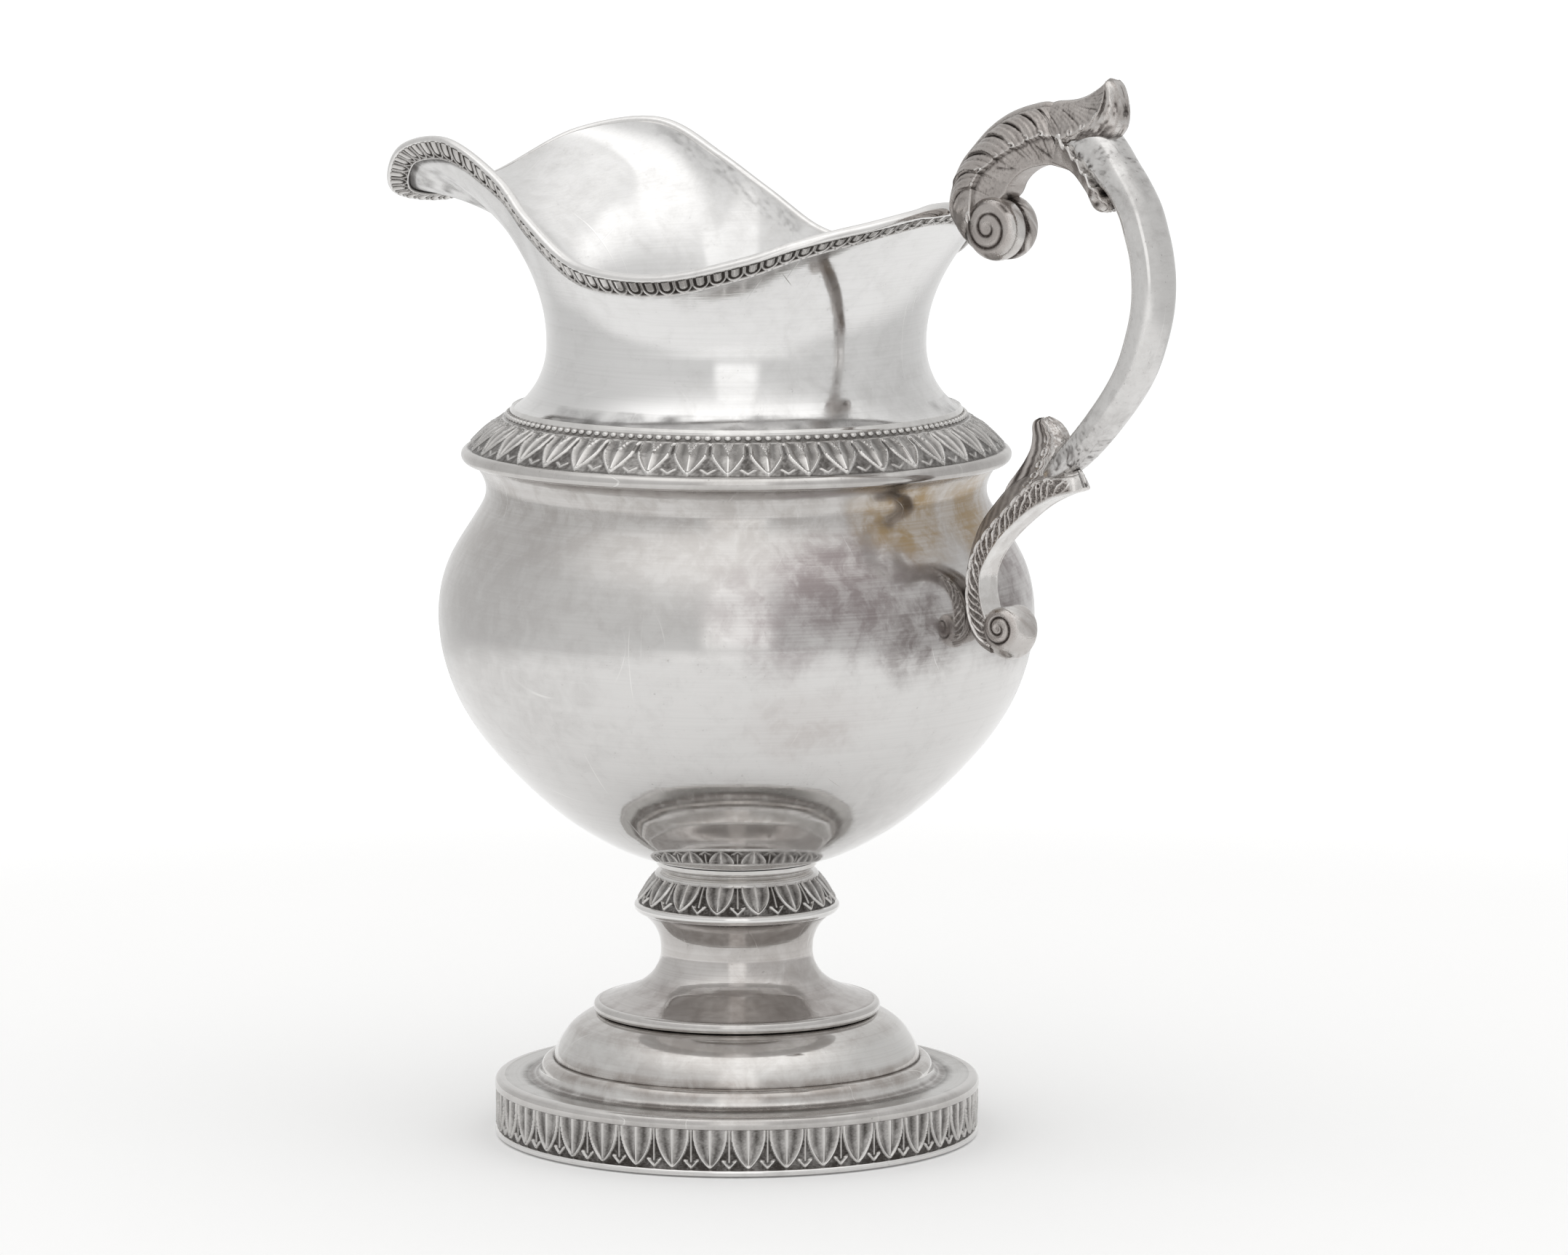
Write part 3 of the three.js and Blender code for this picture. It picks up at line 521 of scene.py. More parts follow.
def leaf_tile(pitch, height, half, cols, rows, tip=0.45, arrow=1.15, amp=1.0, seed=3):
    """One water leaf, tip down, with half an arrow dart on each side."""
    x = (np.arange(cols) / cols - 0.5) * pitch
    y = np.linspace(0, height, rows)
    x, y = np.meshgrid(x, y, indexing="ij")
    tau = np.clip((y - tip) / (height - tip), 0, 1)
    width = half * np.maximum(1 - (1 - tau) ** 2.3, 0) ** 0.85
    ys = np.linspace(tip, height + 0.6, 60)
    ws = half * np.maximum(1 - (1 - np.clip((ys - tip) / (height - tip), 0, 1)) ** 2.3, 0) ** 0.85
    edge = np.minimum(seg_dist(x, y, list(zip(ws, ys))), seg_dist(x, y, list(zip(-ws, ys))))
    inside = (np.abs(x) < width) & (y > tip)
    share = np.where(inside, np.abs(x) / np.maximum(width, 1e-3), 1)
    bowl_of = np.abs(2 * share - 1)
    h = np.where(inside, 0.03 + 0.29 * bowl_of ** 1.8, 0.0)
    rib = 0.09 + 0.20 * tau
    mid = np.where(y > tip, np.clip(1 - np.abs(x) / rib, 0, 1) ** 0.7 * smoothstep(0.0, 0.15, tau), 0)
    line = ridge(edge, 0.155)
    h = np.maximum(h, np.maximum(0.41 * mid, 0.43 * line))
    xa = pitch / 2 - np.abs(x)
    shaft = ridge(np.hypot(xa, np.maximum(arrow * 1.25 - y, 0)), 0.12)
    head = ridge(seg_dist(xa, y, [(0, tip - 0.02), (arrow, tip + arrow * 1.02)]), 0.15)
    barb = ridge(seg_dist(xa, y, [(arrow, tip + arrow * 1.02), (arrow * 0.62, tip + arrow * 0.92)]), 0.15)
    h = np.maximum(h, np.maximum(0.26 * shaft, np.maximum(0.38 * head, 0.28 * barb)))
    grit = value_noise(x * 4 + 7, y * 7, seed)
    h = h + 0.012 * grit * (1 - np.clip(h / 0.34, 0, 1))
    raised = np.clip(np.maximum(np.maximum(line, mid), np.maximum(0.6 * shaft, np.maximum(head, 0.6 * barb))), 0, 1)
    dark = np.where(inside, 0.36 + 0.42 * (1 - bowl_of) + 0.08 * grit, 0.88 + 0.12 * grit)
    dark = dark * (1 - raised) - 0.9 * raised
    return h * amp, dark


PLINTH_BAND = np.stack([np.full(62, 42.02), np.linspace(1.15, 8.2, 62)], -1)
tile, dark = leaf_tile(2 * np.pi * 42.3 / 40, 7.05, 2.85, 38, 62, tip=0.42, arrow=1.15, amp=1.25)
p, c = relief_ring(PLINTH_BAND, tile, dark, 40, 0.8)
Shell().ring(p, c).make("plinth_leaf_band", M_ROLLED, "rolled_silver", ["plinth_leaf_band"], sharp=None)

KNOP_BAND = resample([(17.35, 41.1), (16.95, 41.9), (16.45, 42.7), (15.95, 43.5), (15.4, 44.3), (14.85, 45.0), (14.2, 45.7)], count=58)
tile, dark = leaf_tile(6.75, 5.5, 2.55, 56, 58, tip=0.35, arrow=1.15, amp=1.05, seed=5)
p, c = relief_ring(KNOP_BAND, tile, dark, 15, 0.9, phase=0.35)
Shell().ring(p, c).make("knop_leaf_band", M_ROLLED, "rolled_silver", ["knop_leaf_band"], sharp=None)

# shoulder: lotus leaves joined by little arches, small darts, one row of beads and a plain fillet
SHOULDER = resample([(46.75, 121.45), (46.3, 122.05), (45.7, 122.7), (45.0, 123.4), (44.25, 124.1), (43.4, 124.78), (42.4, 125.45),
                     (40.95, 126.4), (39.8, 127.3), (39.25, 128.0), (38.95, 128.55)], count=60)
s_run = lengths(SHOULDER)
s_of = lambda r, z: s_run[np.argmin(np.hypot(SHOULDER[:, 0] - r, SHOULDER[:, 1] - z))]
S_ARCH, S_BEAD = s_of(41.1, 126.3), s_of(39.95, 127.18)
cols = 30
pitch = 6.6
x = (np.arange(cols) / cols - 0.5) * pitch
x, y = np.meshgrid(x, s_run, indexing="ij")
k = S_ARCH / 6.75
outline = [(0.0, 0.3), (0.42, 0.7), (0.78, 1.1), (1.22, 1.6), (1.82, 2.4), (2.36, 3.2), (2.66, 3.9), (2.78, 4.6), (2.8, 5.4), (2.84, 6.0),
           (2.95, 6.4), (3.1, 6.65), (3.3, 6.75)]
outline = [(a * 0.97, b * k) for a, b in outline]
oy = np.array([b for a, b in outline])
ow = np.array([a for a, b in outline])
width = np.interp(y, oy, ow, left=0, right=3.3)
edge = seg_dist(np.abs(x), y, outline)
inside = (np.abs(x) < width) & (y > oy[0]) & (y < S_ARCH + 0.2)
share = np.where(inside, np.abs(x) / np.maximum(width, 1e-3), 0)
bowl_of = np.abs(2 * share - 1)
h = np.where(inside, 0.02 + 0.32 * bowl_of ** 1.7, 0.06)
line = ridge(edge, 0.165)
stem = np.minimum(seg_dist(np.abs(x), y, [(0, 0.5), (0, 4.3 * k)]), seg_dist(np.abs(x), y, [(0, 4.2 * k), (0.28, 5.4 * k), (0.78, 6.75 * k)]))
stem = ridge(stem, 0.14)
dart = ridge(seg_dist(pitch / 2 - np.abs(x), y, [(0, 0.62), (1.08, 1.42)]), 0.15)
h = np.maximum(h, np.maximum(0.42 * line, np.maximum(0.38 * stem, 0.28 * dart)))
# the channel of the beads and the fillet above it
h = h * (1 - smoothstep(S_ARCH + 0.15, S_ARCH + 0.4, y)) + 0.16 * ridge(y - (S_ARCH + 0.36), 0.14)
h = np.maximum(h, 0.30 * smoothstep(S_BEAD + 0.62, S_BEAD + 0.8, y))
h = np.where(y < 0.3, np.maximum(h, 0.12), h)
grit = value_noise(x * 3 + 2, y * 4, 9)
h = h + 0.02 * grit * np.clip(1 - h / 0.3, 0, 1)
raised = np.clip(np.maximum(line, np.maximum(stem, 0.7 * dart)), 0, 1) * (y < S_ARCH + 0.2)
dark = np.where(inside, 0.21 + 0.42 * (1 - bowl_of), 0.72 + 0.12 * grit)
dark = dark * (1 - raised) - 0.95 * raised
dark = np.where(y > S_ARCH + 0.2, 0.62 - 0.6 * ridge(y - (S_ARCH + 0.36), 0.14), dark)
dark = np.where(y > S_BEAD + 0.72, -0.9, dark)
p, c = relief_ring(SHOULDER, h, dark, 42, 0.6, phase=0.2)
shell = Shell().ring(p, c)
BEADS = 146
bead_i = np.interp(S_BEAD, s_run, np.arange(len(s_run)))
bead_r = np.interp(S_BEAD, s_run, SHOULDER[:, 0])
bead_z = np.interp(S_BEAD, s_run, SHOULDER[:, 1])
tangent = SHOULDER[int(bead_i) + 1] - SHOULDER[int(bead_i)]
tangent /= np.linalg.norm(tangent)
polar = np.linspace(0, np.pi, 9)
turnv = np.linspace(0, 2 * np.pi, 14, endpoint=False)
for b in range(BEADS):
    th = 2 * np.pi * b / BEADS
    er, et = np.array([-math.cos(th), -math.sin(th), 0]), np.array([math.sin(th), -math.cos(th), 0])
    ez = np.array([0, 0, 1.0])
    out = er * tangent[1] - ez * tangent[0]
    up = er * tangent[0] + ez * tangent[1]
    centre = er * bead_r + ez * bead_z + out * 0.02
    size = 0.60 * (1 + 0.06 * RNG.uniform(-1, 1))
    loc = (centre + np.cos(polar)[None, :, None] * out * 0.50
           + np.sin(polar)[None, :, None] * (np.cos(turnv)[:, None, None] * et * (size * 1.08) + np.sin(turnv)[:, None, None] * up * size * 0.92))
    shade = np.broadcast_to(smoothstep(0.5, 1.5, polar), (14, 9))
    shell.poles(loc, 1.5 * shade - 0.9)
shell.make("shoulder_leaf_band", M_ROLLED, "rolled_silver", ["shoulder_leaf_band"], sharp=None)

ring_piece("shoulder_edge_wire", soft_loop(
    [(46.2, 118.85), (47.0, 118.95), (47.6, 119.25), (47.97, 119.75), (48.07, 120.25), (47.98, 120.75), (47.65, 121.2), (47.2, 121.5),
     (46.75, 121.6)], 0.12, [(46.3, 121.2), (45.9, 120.0)]), 288, M_DULL_WIRE, "wire_silver", [(46.8, 121.6, 0.7, 0.45), (46.2, 118.9, 0.5, 0.5)])

# ---------------------------------------------------------------- bowl
BOWL = [(0.0, 47.75), (6.0, 47.85), (11.0, 48.1), (14.6, 48.7), (18.4, 49.92), (20.06, 50.6), (21.53, 51.29), (22.97, 52.02), (25.55, 53.5),
        (27.91, 55.0), (30.08, 56.5), (33.81, 59.55), (35.52, 61.1), (37.9, 63.4), (40.1, 65.7), (42.14, 67.95), (44.58, 70.95),
        (46.64, 73.95), (48.34, 76.9), (49.68, 79.9), (50.74, 82.9), (51.5, 85.85), (51.96, 88.9), (52.17, 91.8), (52.1, 94.1), (51.84, 96.3),
        (51.39, 98.5), (50.68, 100.75), (49.67, 103.0), (48.42, 105.2), (46.95, 107.5), (45.5, 109.8), (44.5, 111.5), (43.9, 112.9),
        (43.72, 114.1), (43.87, 115.3), (44.35, 116.6), (45.0, 117.7), (45.7, 118.6), (46.3, 119.1)]
outer = resample(BOWL, 0.9)
outer[0, 0] = 0
inner = offset(outer, -0.9)[::-1]
inner[-1] = (0, outer[0, 1] + 0.9)
bowl_section = np.concatenate([outer, inner])
# painted shade, with tarnish, under the shoulder wire and where the bowl sits on the stem collar
Shell().poles(turn(bowl_section, 320), np.broadcast_to(joint_shade_and_tarnish(bowl_section, [(46.3, 119.1, 0.7, 1.4), (14.6, 48.7, 0.5, 1.2)]), (320, len(bowl_section)))).make("bowl", M_BOWL, "raised_silver", ["bowl"])

# ---------------------------------------------------------------- neck and rim
RIM = np.array([
    (0, 66.78, 161.11, -32.7, 7.2, 14.7), (12, 68.04, 163.84, -4.4, 5.0, 21.7), (24, 61.47, 172.4, 38.6, 8.8, 20.6),
    (36, 51.15, 175.48, 88, 7.4, 18.5), (48, 42.9, 169.7, 80, 8.8, 12.5), (60, 40.1, 163.6, 76, 7.0, 10.0), (75, 37.9, 157.1, 70, 5.4, 7.5),
    (90, 38.4, 155.0, 66, 4.8, 6.2), (110, 40.0, 154.95, 60, 4.6, 6.0), (130, 42.0, 158.05, 55, 5.4, 8.0), (142, 43.6, 160.8, 49, 6.0, 9.0),
    (155, 45.1, 162.96, 44, 6.6, 10.5), (180, 46.0, 165.5, 42, 7.2, 12.0)])
WAIST = (33.13, 139.8)
TONGUE_W = 3.3


def wall(theta, below_end):
    """Points of the neck's outside at angles from the spout, by distance down from the edge of the sheet."""
    deg = np.degrees(np.arccos(np.cos(theta)))
    r, z, slope, flare, rise = hermite(RIM[:, 0], RIM[:, 1:], deg, level=True).T
    s = np.radians(slope)
    er, ez = r - 1.1 * np.cos(s) - 0.5 * np.sin(s), z - 1.1 * np.sin(s) + 0.5 * np.cos(s)
    u = np.linspace(0, 1, 260)[None]
    b0, b1, b2, b3 = (1 - u) ** 3, 3 * u * (1 - u) ** 2, 3 * u * u * (1 - u), u ** 3
    cr = b0 * WAIST[0] + b1 * WAIST[0] + b2 * (er - flare * np.cos(s))[:, None] + b3 * er[:, None]
    cz = b0 * WAIST[1] + b1 * (WAIST[1] + rise)[:, None] + b2 * (ez - flare * np.sin(s))[:, None] + b3 * ez[:, None]
    run = np.concatenate([np.zeros((len(theta), 1)), np.cumsum(np.hypot(np.diff(cr), np.diff(cz)), 1)], 1)
    total = run[:, -1]
    out = np.empty(np.shape(below_end(total)) + (2,))
    for i, want in enumerate(total[:, None] - below_end(total)):
        out[i, :, 0] = np.interp(want, run[i], cr[i])
        out[i, :, 1] = np.interp(want, run[i], cz[i])
    return out


def around(theta, rz):
    return np.stack([-np.cos(theta)[:, None] * rz[..., 0], -np.sin(theta)[:, None] * rz[..., 0], rz[..., 1]], -1)


def skin_normals(p):
    a = np.roll(p, -1, 0) - np.roll(p, 1, 0)
    b = np.gradient(p, axis=1)
    n = np.cross(a, b)
    return n / np.linalg.norm(n, axis=-1)[..., None]


SEG = 420
theta = np.linspace(0, 2 * np.pi, SEG, endpoint=False)
LOWER = resample([(39.25, 128.25), (38.75, 128.53), (38.1, 128.93), (37.35, 129.52), (36.65, 130.22), (36.0, 131.03), (35.35, 131.95), (34.75, 132.95), (33.98, 134.7), (33.5, 136.3), (33.22, 137.9),
                  (33.13, 139.3), WAIST], count=26)[:-1]
rows = np.r_[np.linspace(0, 0.76, 30), np.linspace(0.76, 1, 27)[1:]]
upper = wall(theta, lambda total: np.outer(total, 1 - rows))
rz = np.concatenate([np.broadcast_to(LOWER, (SEG,) + LOWER.shape), upper], 1)
skin = around(theta, rz)
normals = skin_normals(skin)
below = np.concatenate([np.linalg.norm(np.diff(skin, axis=1), axis=-1)[:, ::-1].cumsum(1)[:, ::-1], np.zeros((SEG, 1))], 1)
lip = np.degrees(np.arccos(np.cos(theta)))[:, None]
# painted shade on the neck, with mottled tarnish: a dark band just under the tongue band (its painted shadow and
# reflection), more under the middle of the spout's lip, a mottled dark zone under the spout's curl (a painted dark
# reflection), a dark line along the bottom row where the neck meets the shoulder band, and a mottled darker zone low on
# the flare from the sides round to the back
neck_shade_and_tarnish = (1.0 - 0.6 * smoothstep(25, 55, lip)) * np.exp(-((below - TONGUE_W - 0.35) / (1.1 - 0.4 * smoothstep(25, 55, lip))) ** 2)
neck_shade_and_tarnish = neck_shade_and_tarnish + 0.45 * np.exp(-(lip / 14) ** 2) * np.exp(-((below - TONGUE_W - 0.9) / 1.8) ** 2)
neck_shade_and_tarnish = np.maximum(neck_shade_and_tarnish, (0.46 + 0.26 * value_noise(theta[:, None] * 30, below * 0.55, 12)) * smoothstep(48, 20, lip) * smoothstep(34, 16, below))
neck_shade_and_tarnish = np.maximum(neck_shade_and_tarnish, 0.4 * ridge(np.arange(skin.shape[1])[None], 1.0))
neck_shade_and_tarnish = np.maximum(neck_shade_and_tarnish, (0.46 + 0.22 * value_noise(theta[:, None] * 12, skin[..., 2] * 0.8, 13)) * smoothstep(64, 76, lip) * smoothstep(174, 160, lip) * smoothstep(131.4, 130.4, skin[..., 2]))
# the inside a little darker all round, and darker just inside the edge on the spout's sides
inside_darkening = 0.10 + (0.2 + 0.25 * value_noise(theta[:, None] * 60, below * 1.5, 21)) * smoothstep(9, 2, below) * smoothstep(30, 40, lip) * smoothstep(100, 60, lip)
Shell().ring(np.concatenate([skin, (skin - 0.9 * normals)[:, ::-1]], 1), np.concatenate([neck_shade_and_tarnish, inside_darkening[:, ::-1]], 1)).make(
    "neck", M_NECK, "raised_silver", ["neck"])

edge_line, edge_normal = skin[:, -1], normals[:, -1]
along = np.roll(edge_line, -1, 0) - np.roll(edge_line, 1, 0)
along /= np.linalg.norm(along, axis=1)[:, None]
rise = np.cross(edge_normal, along)
LISTEL = [(-0.98, -0.3), (-1.02, 0.1), (-0.86, 0.5), (-0.45, 0.8), (0.1, 0.92), (0.6, 0.84), (0.95, 0.55), (1.02, 0.18), (0.85, -0.12),
          (0.3, -0.2), (-0.5, -0.3)]
loop = resample(LISTEL + LISTEL[:1], count=25)[:-1]
# a little fuller where the handle is soldered on
solder = smoothstep(7.5, 2.5, np.abs(edge_line[:, 1])) * (edge_line[:, 0] > 0)
Shell().ring(edge_line[:, None] + loop[None, :, :1] * (1 + 0.42 * solder)[:, None, None] * edge_normal[:, None] + loop[None, :, 1:] * rise[:, None]).make(
    "rim_listel", M_WIRE, "wire_silver", ["rim_listel"])

# tongues of even pitch along the rim, one in the middle of the spout
fine = np.linspace(0, 2 * np.pi, 2401)
rim_rz = wall(fine, lambda total: np.zeros((len(fine), 1)))
rim_run = lengths(around(fine, rim_rz)[:, 0])
TONGUES = int(round(rim_run[-1] / 3.15))
per, vrows = 24, 26
th = np.interp((np.arange(TONGUES * per) / per - 0.5) % TONGUES * rim_run[-1] / TONGUES, rim_run, fine)
v = np.linspace(0, TONGUE_W + 0.15, vrows)
strip = wall(th, lambda total: np.broadcast_to(TONGUE_W + 0.0 - v, (len(th), vrows)).clip(-0.0))
base = around(th, strip)
a = np.roll(base, -1, 0) - np.roll(base, 1, 0)
b = np.gradient(base, axis=1)
b[:, -1] = b[:, -2]
strip_n = np.cross(a, b)
strip_n /= np.linalg.norm(strip_n, axis=-1)[..., None]
ux = (np.arange(per) / per - 0.5) * 3.15
ux, vy = np.meshgrid(ux, v, indexing="ij")
vc = 1.72
d = np.hypot(ux, np.minimum(vy - vc, 0) * 1.02)
rim_u = ridge(d - 1.42, 0.13)
egg = np.clip(1 - (d / 0.80) ** 2, 0, 1) ** 0.55
wire = ridge(vy - 0.12, 0.17)
h = np.maximum(np.maximum(0.34 * rim_u, 0.40 * egg), 0.46 * wire)
raised = np.clip(np.maximum(np.maximum(rim_u, 0.9 * egg), wire), 0, 1)
dark = 1.1 * (1 - raised) ** 0.8 - 0.8 * raised
h, dark = np.tile(h, (TONGUES, 1)), np.tile(dark, (TONGUES, 1))
# painted shade on the tongues near the spout, where the band turns under the curled lip
dark = dark + 0.38 * smoothstep(50, 25, np.degrees(np.arccos(np.cos(th))))[:, None] * np.tile(1 - 0.8 * egg - 0.4 * wire, (TONGUES, 1))
front = base + strip_n * (0.22 + 0.55 * (v / TONGUE_W) ** 1.3 + h)[..., None]
back = (base - strip_n * 0.12)[:, ::-1][:, [0, vrows // 2, vrows - 1]]
Shell().ring(np.concatenate([front, back], 1), np.concatenate([dark, np.ones((len(th), 3))], 1)).make(
    "rim_tongue_band", M_ROLLED, "rolled_silver", ["rim_tongue_band"], sharp=None)


# ---------------------------------------------------------------- handle
# grip: rounded bar with crowned faces and soft arrises; x, z, thickness, width
GRIP = np.array([
    (72.2, 178.5, 2.0, 6.6), (73.75, 178.5, 4.2, 7.9), (75.4, 178.4, 6.6, 8.3), (77.2, 177.5, 7.9, 8.5), (79.0, 175.9, 7.6, 8.6), (81.2, 173.5, 6.7, 8.7),
    (83.5, 170.9, 6.05, 8.7), (85.8, 167.2, 6.0, 8.7), (87.1, 163.6, 6.0, 8.7), (88.2, 159.6, 5.9, 8.6), (88.7, 155.0, 5.85, 8.6),
    (88.4, 150.2, 5.7, 8.5), (87.15, 145.2, 5.55, 8.4), (85.4, 140.6, 5.4, 8.25), (82.8, 136.3, 5.2, 8.1), (79.1, 131.6, 5.0, 7.8),
    (75.3, 127.4, 4.8, 7.5), (72.2, 124.5, 4.5, 7.2), (69.8, 122.5, 3.6, 6.6), (68.2, 121.3, 2.4, 5.5)])
run = lengths(GRIP[:, :2])
gs = np.linspace(0, run[-1], 170)
g = hermite(run, GRIP, gs)
tan = np.gradient(g[:, :2], axis=0)
tan /= np.linalg.norm(tan, axis=1)[:, None]
side = np.stack([-tan[:, 1], tan[:, 0]], -1)
turnv = np.linspace(0, 2 * np.pi, 72, endpoint=False)[None]
power = 2 / (2.55 + 0.6 * smoothstep(15, 55, gs))[:, None]
ex = g[:, 2, None] / 2 * np.sign(np.cos(turnv)) * np.abs(np.cos(turnv)) ** power
ey = g[:, 3, None] / 2 * np.sign(np.sin(turnv)) * np.abs(np.sin(turnv)) ** power
ends = np.minimum(gs, gs[-1] - gs)
Shell().tube(np.stack([g[:, 0, None] + side[:, 0, None] * ex, ey, g[:, 1, None] + side[:, 1, None] * ex], -1),
             (1.0 - smoothstep(5.0, 24.0, ends)[:, None]) * (0.30 + 0.45 * value_noise(gs[:, None] * 1.3, 9 + 4 * np.cos(turnv) + 0 * gs[:, None], 41)
                                                              + 0.6 * value_noise(gs[:, None] * 3.6, 19 + 9 * np.cos(turnv) + 7 * np.sin(turnv) + 0 * gs[:, None], 42))).make(
    "handle_grip", M_GRIP, "raised_silver", ["handle_grip"])


def loft(ctrl, counts, bulges, n_run, shape=None):
    """A casting from stations of half sections: corners joined by sides, each side with its own bulge.
    Returns the points of the whole ring, and for each the side, the share along it and the run."""
    c = np.asarray(ctrl, float)
    run = lengths(c.mean(1) * [1, 0, 1])
    s = np.linspace(0, run[-1], n_run)
    st, k_n = c.shape[:2]
    c = hermite(run, c.reshape(st, -1), s).reshape(n_run, k_n, 3)
    bulge = [hermite(run, np.broadcast_to(np.asarray(v, float), st), s) for v in bulges]
    u = s / run[-1]
    if shape:
        c = shape(c, u)
    along = np.gradient(c.mean(1), axis=0)
    mid = c.mean(1) * [1, 0, 1]
    parts, seg, frac = [], [], []
    for k in range(k_n - 1):
        f = np.linspace(0, 1, counts[k] + 1)
        f = f if k == k_n - 2 else f[:-1]
        a, e = c[:, k], c[:, k + 1]
        n = np.cross(e - a, along)
        n /= np.linalg.norm(n, axis=1)[:, None] + 1e-9
        n *= np.sign(np.einsum("ij,ij->i", n, (a + e) / 2 - mid))[:, None]
        parts.append(a[:, None] + (e - a)[:, None] * f[None, :, None] + n[:, None] * (bulge[k][:, None] * 4 * f * (1 - f))[..., None])
        seg += [k] * len(f)
        frac += list(f)
    half = np.concatenate(parts, 1)
    full = np.concatenate([half, (half * [1, -1, 1])[:, -2:0:-1]], 1)
    idx = np.r_[np.arange(len(seg)), np.arange(len(seg) - 2, 0, -1)]
    return full, np.array(seg)[idx][None], np.array(frac)[idx][None], u[:, None], s[:, None]


def displaced(p, h):
    """Pushes a ring of sections out along its normals."""
    a = np.gradient(p, axis=0)
    b = np.roll(p, -1, 1) - np.roll(p, 1, 1)
    n = np.cross(a, b)
    n /= np.linalg.norm(n, axis=-1)[..., None] + 1e-9
    if np.einsum("ijk,ijk->", n, p - p.mean(1, keepdims=True)) < 0:
        n = -n
    return p + n * np.broadcast_to(h, p.shape[:2])[..., None]


def lobe_of(phase):
    f = phase % 1.0
    return np.sqrt(np.clip(1 - (2 * f - 1) ** 2, 0, 1)), f


def volute(shell, centre, face_centre, radius, face, half, turns, start, lobed, rise=0.36, seg=132):
    """A rolled scroll end: a barrel across the handle with a spiral cord on each face."""
    yy = np.linspace(-half, half, 49)
    tt = np.abs(yy) / half
    if lobed:
        swell = np.where(tt > 0.48, np.sqrt(np.clip(1 - ((tt - 0.48) / 0.52) ** 2, 0, 1)),
                         0.55 + 0.45 * np.sqrt(np.clip(1 - ((0.48 - tt) / 0.48) ** 2, 0, 1)))
    else:
        swell = np.sqrt(np.clip(1 - tt ** 2, 0, 1))
    nf = 34
    fr = np.linspace(0, 1, nf)
    r = np.concatenate([fr * face, (face + (radius - face) * swell)[1:-1], fr[::-1] * face])
    y = np.concatenate([np.full(nf, -half), yy[1:-1], np.full(nf, half)])
    is_face = np.abs(y) > half - 1e-6
    al = np.linspace(0, 2 * np.pi, seg, endpoint=False)[:, None]
    pitch = face / turns
    f = (r[None] / pitch + (al - start) / (2 * np.pi)) % 1.0
    cord = np.clip(1.06 * np.sin(np.pi * f) ** 0.65, 0, 1)
    fade = smoothstep(0.15, 0.6, r / pitch)[None]
    push = np.where(is_face[None], rise * cord * fade + 0.5 * rise * (1 - fade) + 0.35 * (1 - (r / face)[None] ** 2), 0)
    share = np.clip(np.abs(y) / half, 0, 1) ** 2
    cx = centre[0] + (face_centre[0] - centre[0]) * share
    cz = centre[1] + (face_centre[1] - centre[1]) * share
    pts = np.stack([cx + r * np.cos(al), y + np.sign(y) * push, cz + r * np.sin(al)], -1)
    blot = value_noise(2 * np.cos(al) + 0 * y + 9, 2 * np.sin(al) + 0.5 * y[None], 25) + 0.5 * value_noise(7 * np.cos(al) + 0 * y + 9, 7 * np.sin(al) + 2 * y[None], 26)
    drum = -0.62 + (1.05 if lobed else 0.5) * smoothstep(-0.25, 0.65, blot)
    cav = np.where(is_face[None], np.clip(1.28 - 1.35 * cord, -0.05, 1) * fade + 0.12, drum)
    if lobed:
        cav = np.where(is_face[None], cav, drum + 1.4 * ridge(y / half, 0.15)[None])
    cav = cav + 0.5 * ridge((np.abs(y) - half) / 0.3, 1.0)[None] * (~is_face)[None]
    shell.poles(pts, np.broadcast_to(cav, pts.shape[:2]))


# --- upper scroll. Stations: spine x, z, margin x, z, half width, inner edge x, z, half width
UPPER = [
    (53.4, 158.0, 55.2, 160.6, 3.3, 56.2, 161.8, 2.9), (51.0, 159.2, 53.9, 162.6, 3.6, 55.6, 163.4, 3.0),
    (48.25, 161.8, 53.4, 165.2, 3.9, 55.8, 165.4, 3.0), (46.2, 165.2, 53.5, 168.2, 4.0, 57.2, 166.9, 2.9),
    (46.95, 169.8, 54.2, 170.9, 4.05, 59.4, 168.6, 2.8), (48.6, 173.3, 55.6, 172.6, 4.05, 60.6, 170.7, 2.7),
    (50.8, 175.9, 57.6, 174.1, 4.05, 61.9, 172.0, 2.6), (54.6, 179.6, 60.2, 175.9, 4.05, 63.9, 173.2, 2.5),
    (58.9, 182.3, 63.4, 177.3, 4.0, 66.3, 173.9, 2.4), (63.8, 184.0, 66.6, 178.8, 4.0, 68.8, 174.2, 2.4),
    (67.6, 184.5, 69.5, 179.2, 3.75, 70.9, 173.9, 2.4), (70.2, 182.9, 71.5, 178.9, 2.5, 72.6, 173.4, 1.9)]
LOBES, SWEEP = 9.0, 0.125


def leaf_phase(u):
    return LOBES * u + 0.25 * np.sin(8.0 * u) + 0.35


ctrl = []
for bx, bz, mx, mz, w, ix, iz, wi in UPPER:
    b, m, i = np.array([bx, bz]), np.array([mx, mz]), np.array([ix, iz])
    b1, u1, i0 = b + 0.08 * (m - b), m + 0.07 * (i - m), i + 0.02 * (i - m)
    ctrl.append([(b[0], 0, b[1]), (b1[0], -0.6, b1[1]), (m[0], -w, m[1]), (u1[0], -(w - 0.42), u1[1]), (i[0], -wi, i[1]), (i0[0], 0, i0[1])])


def slant(u):
    return SWEEP * smoothstep(0.0, 0.16, u) * (1 - smoothstep(0.80, 1.0, u))


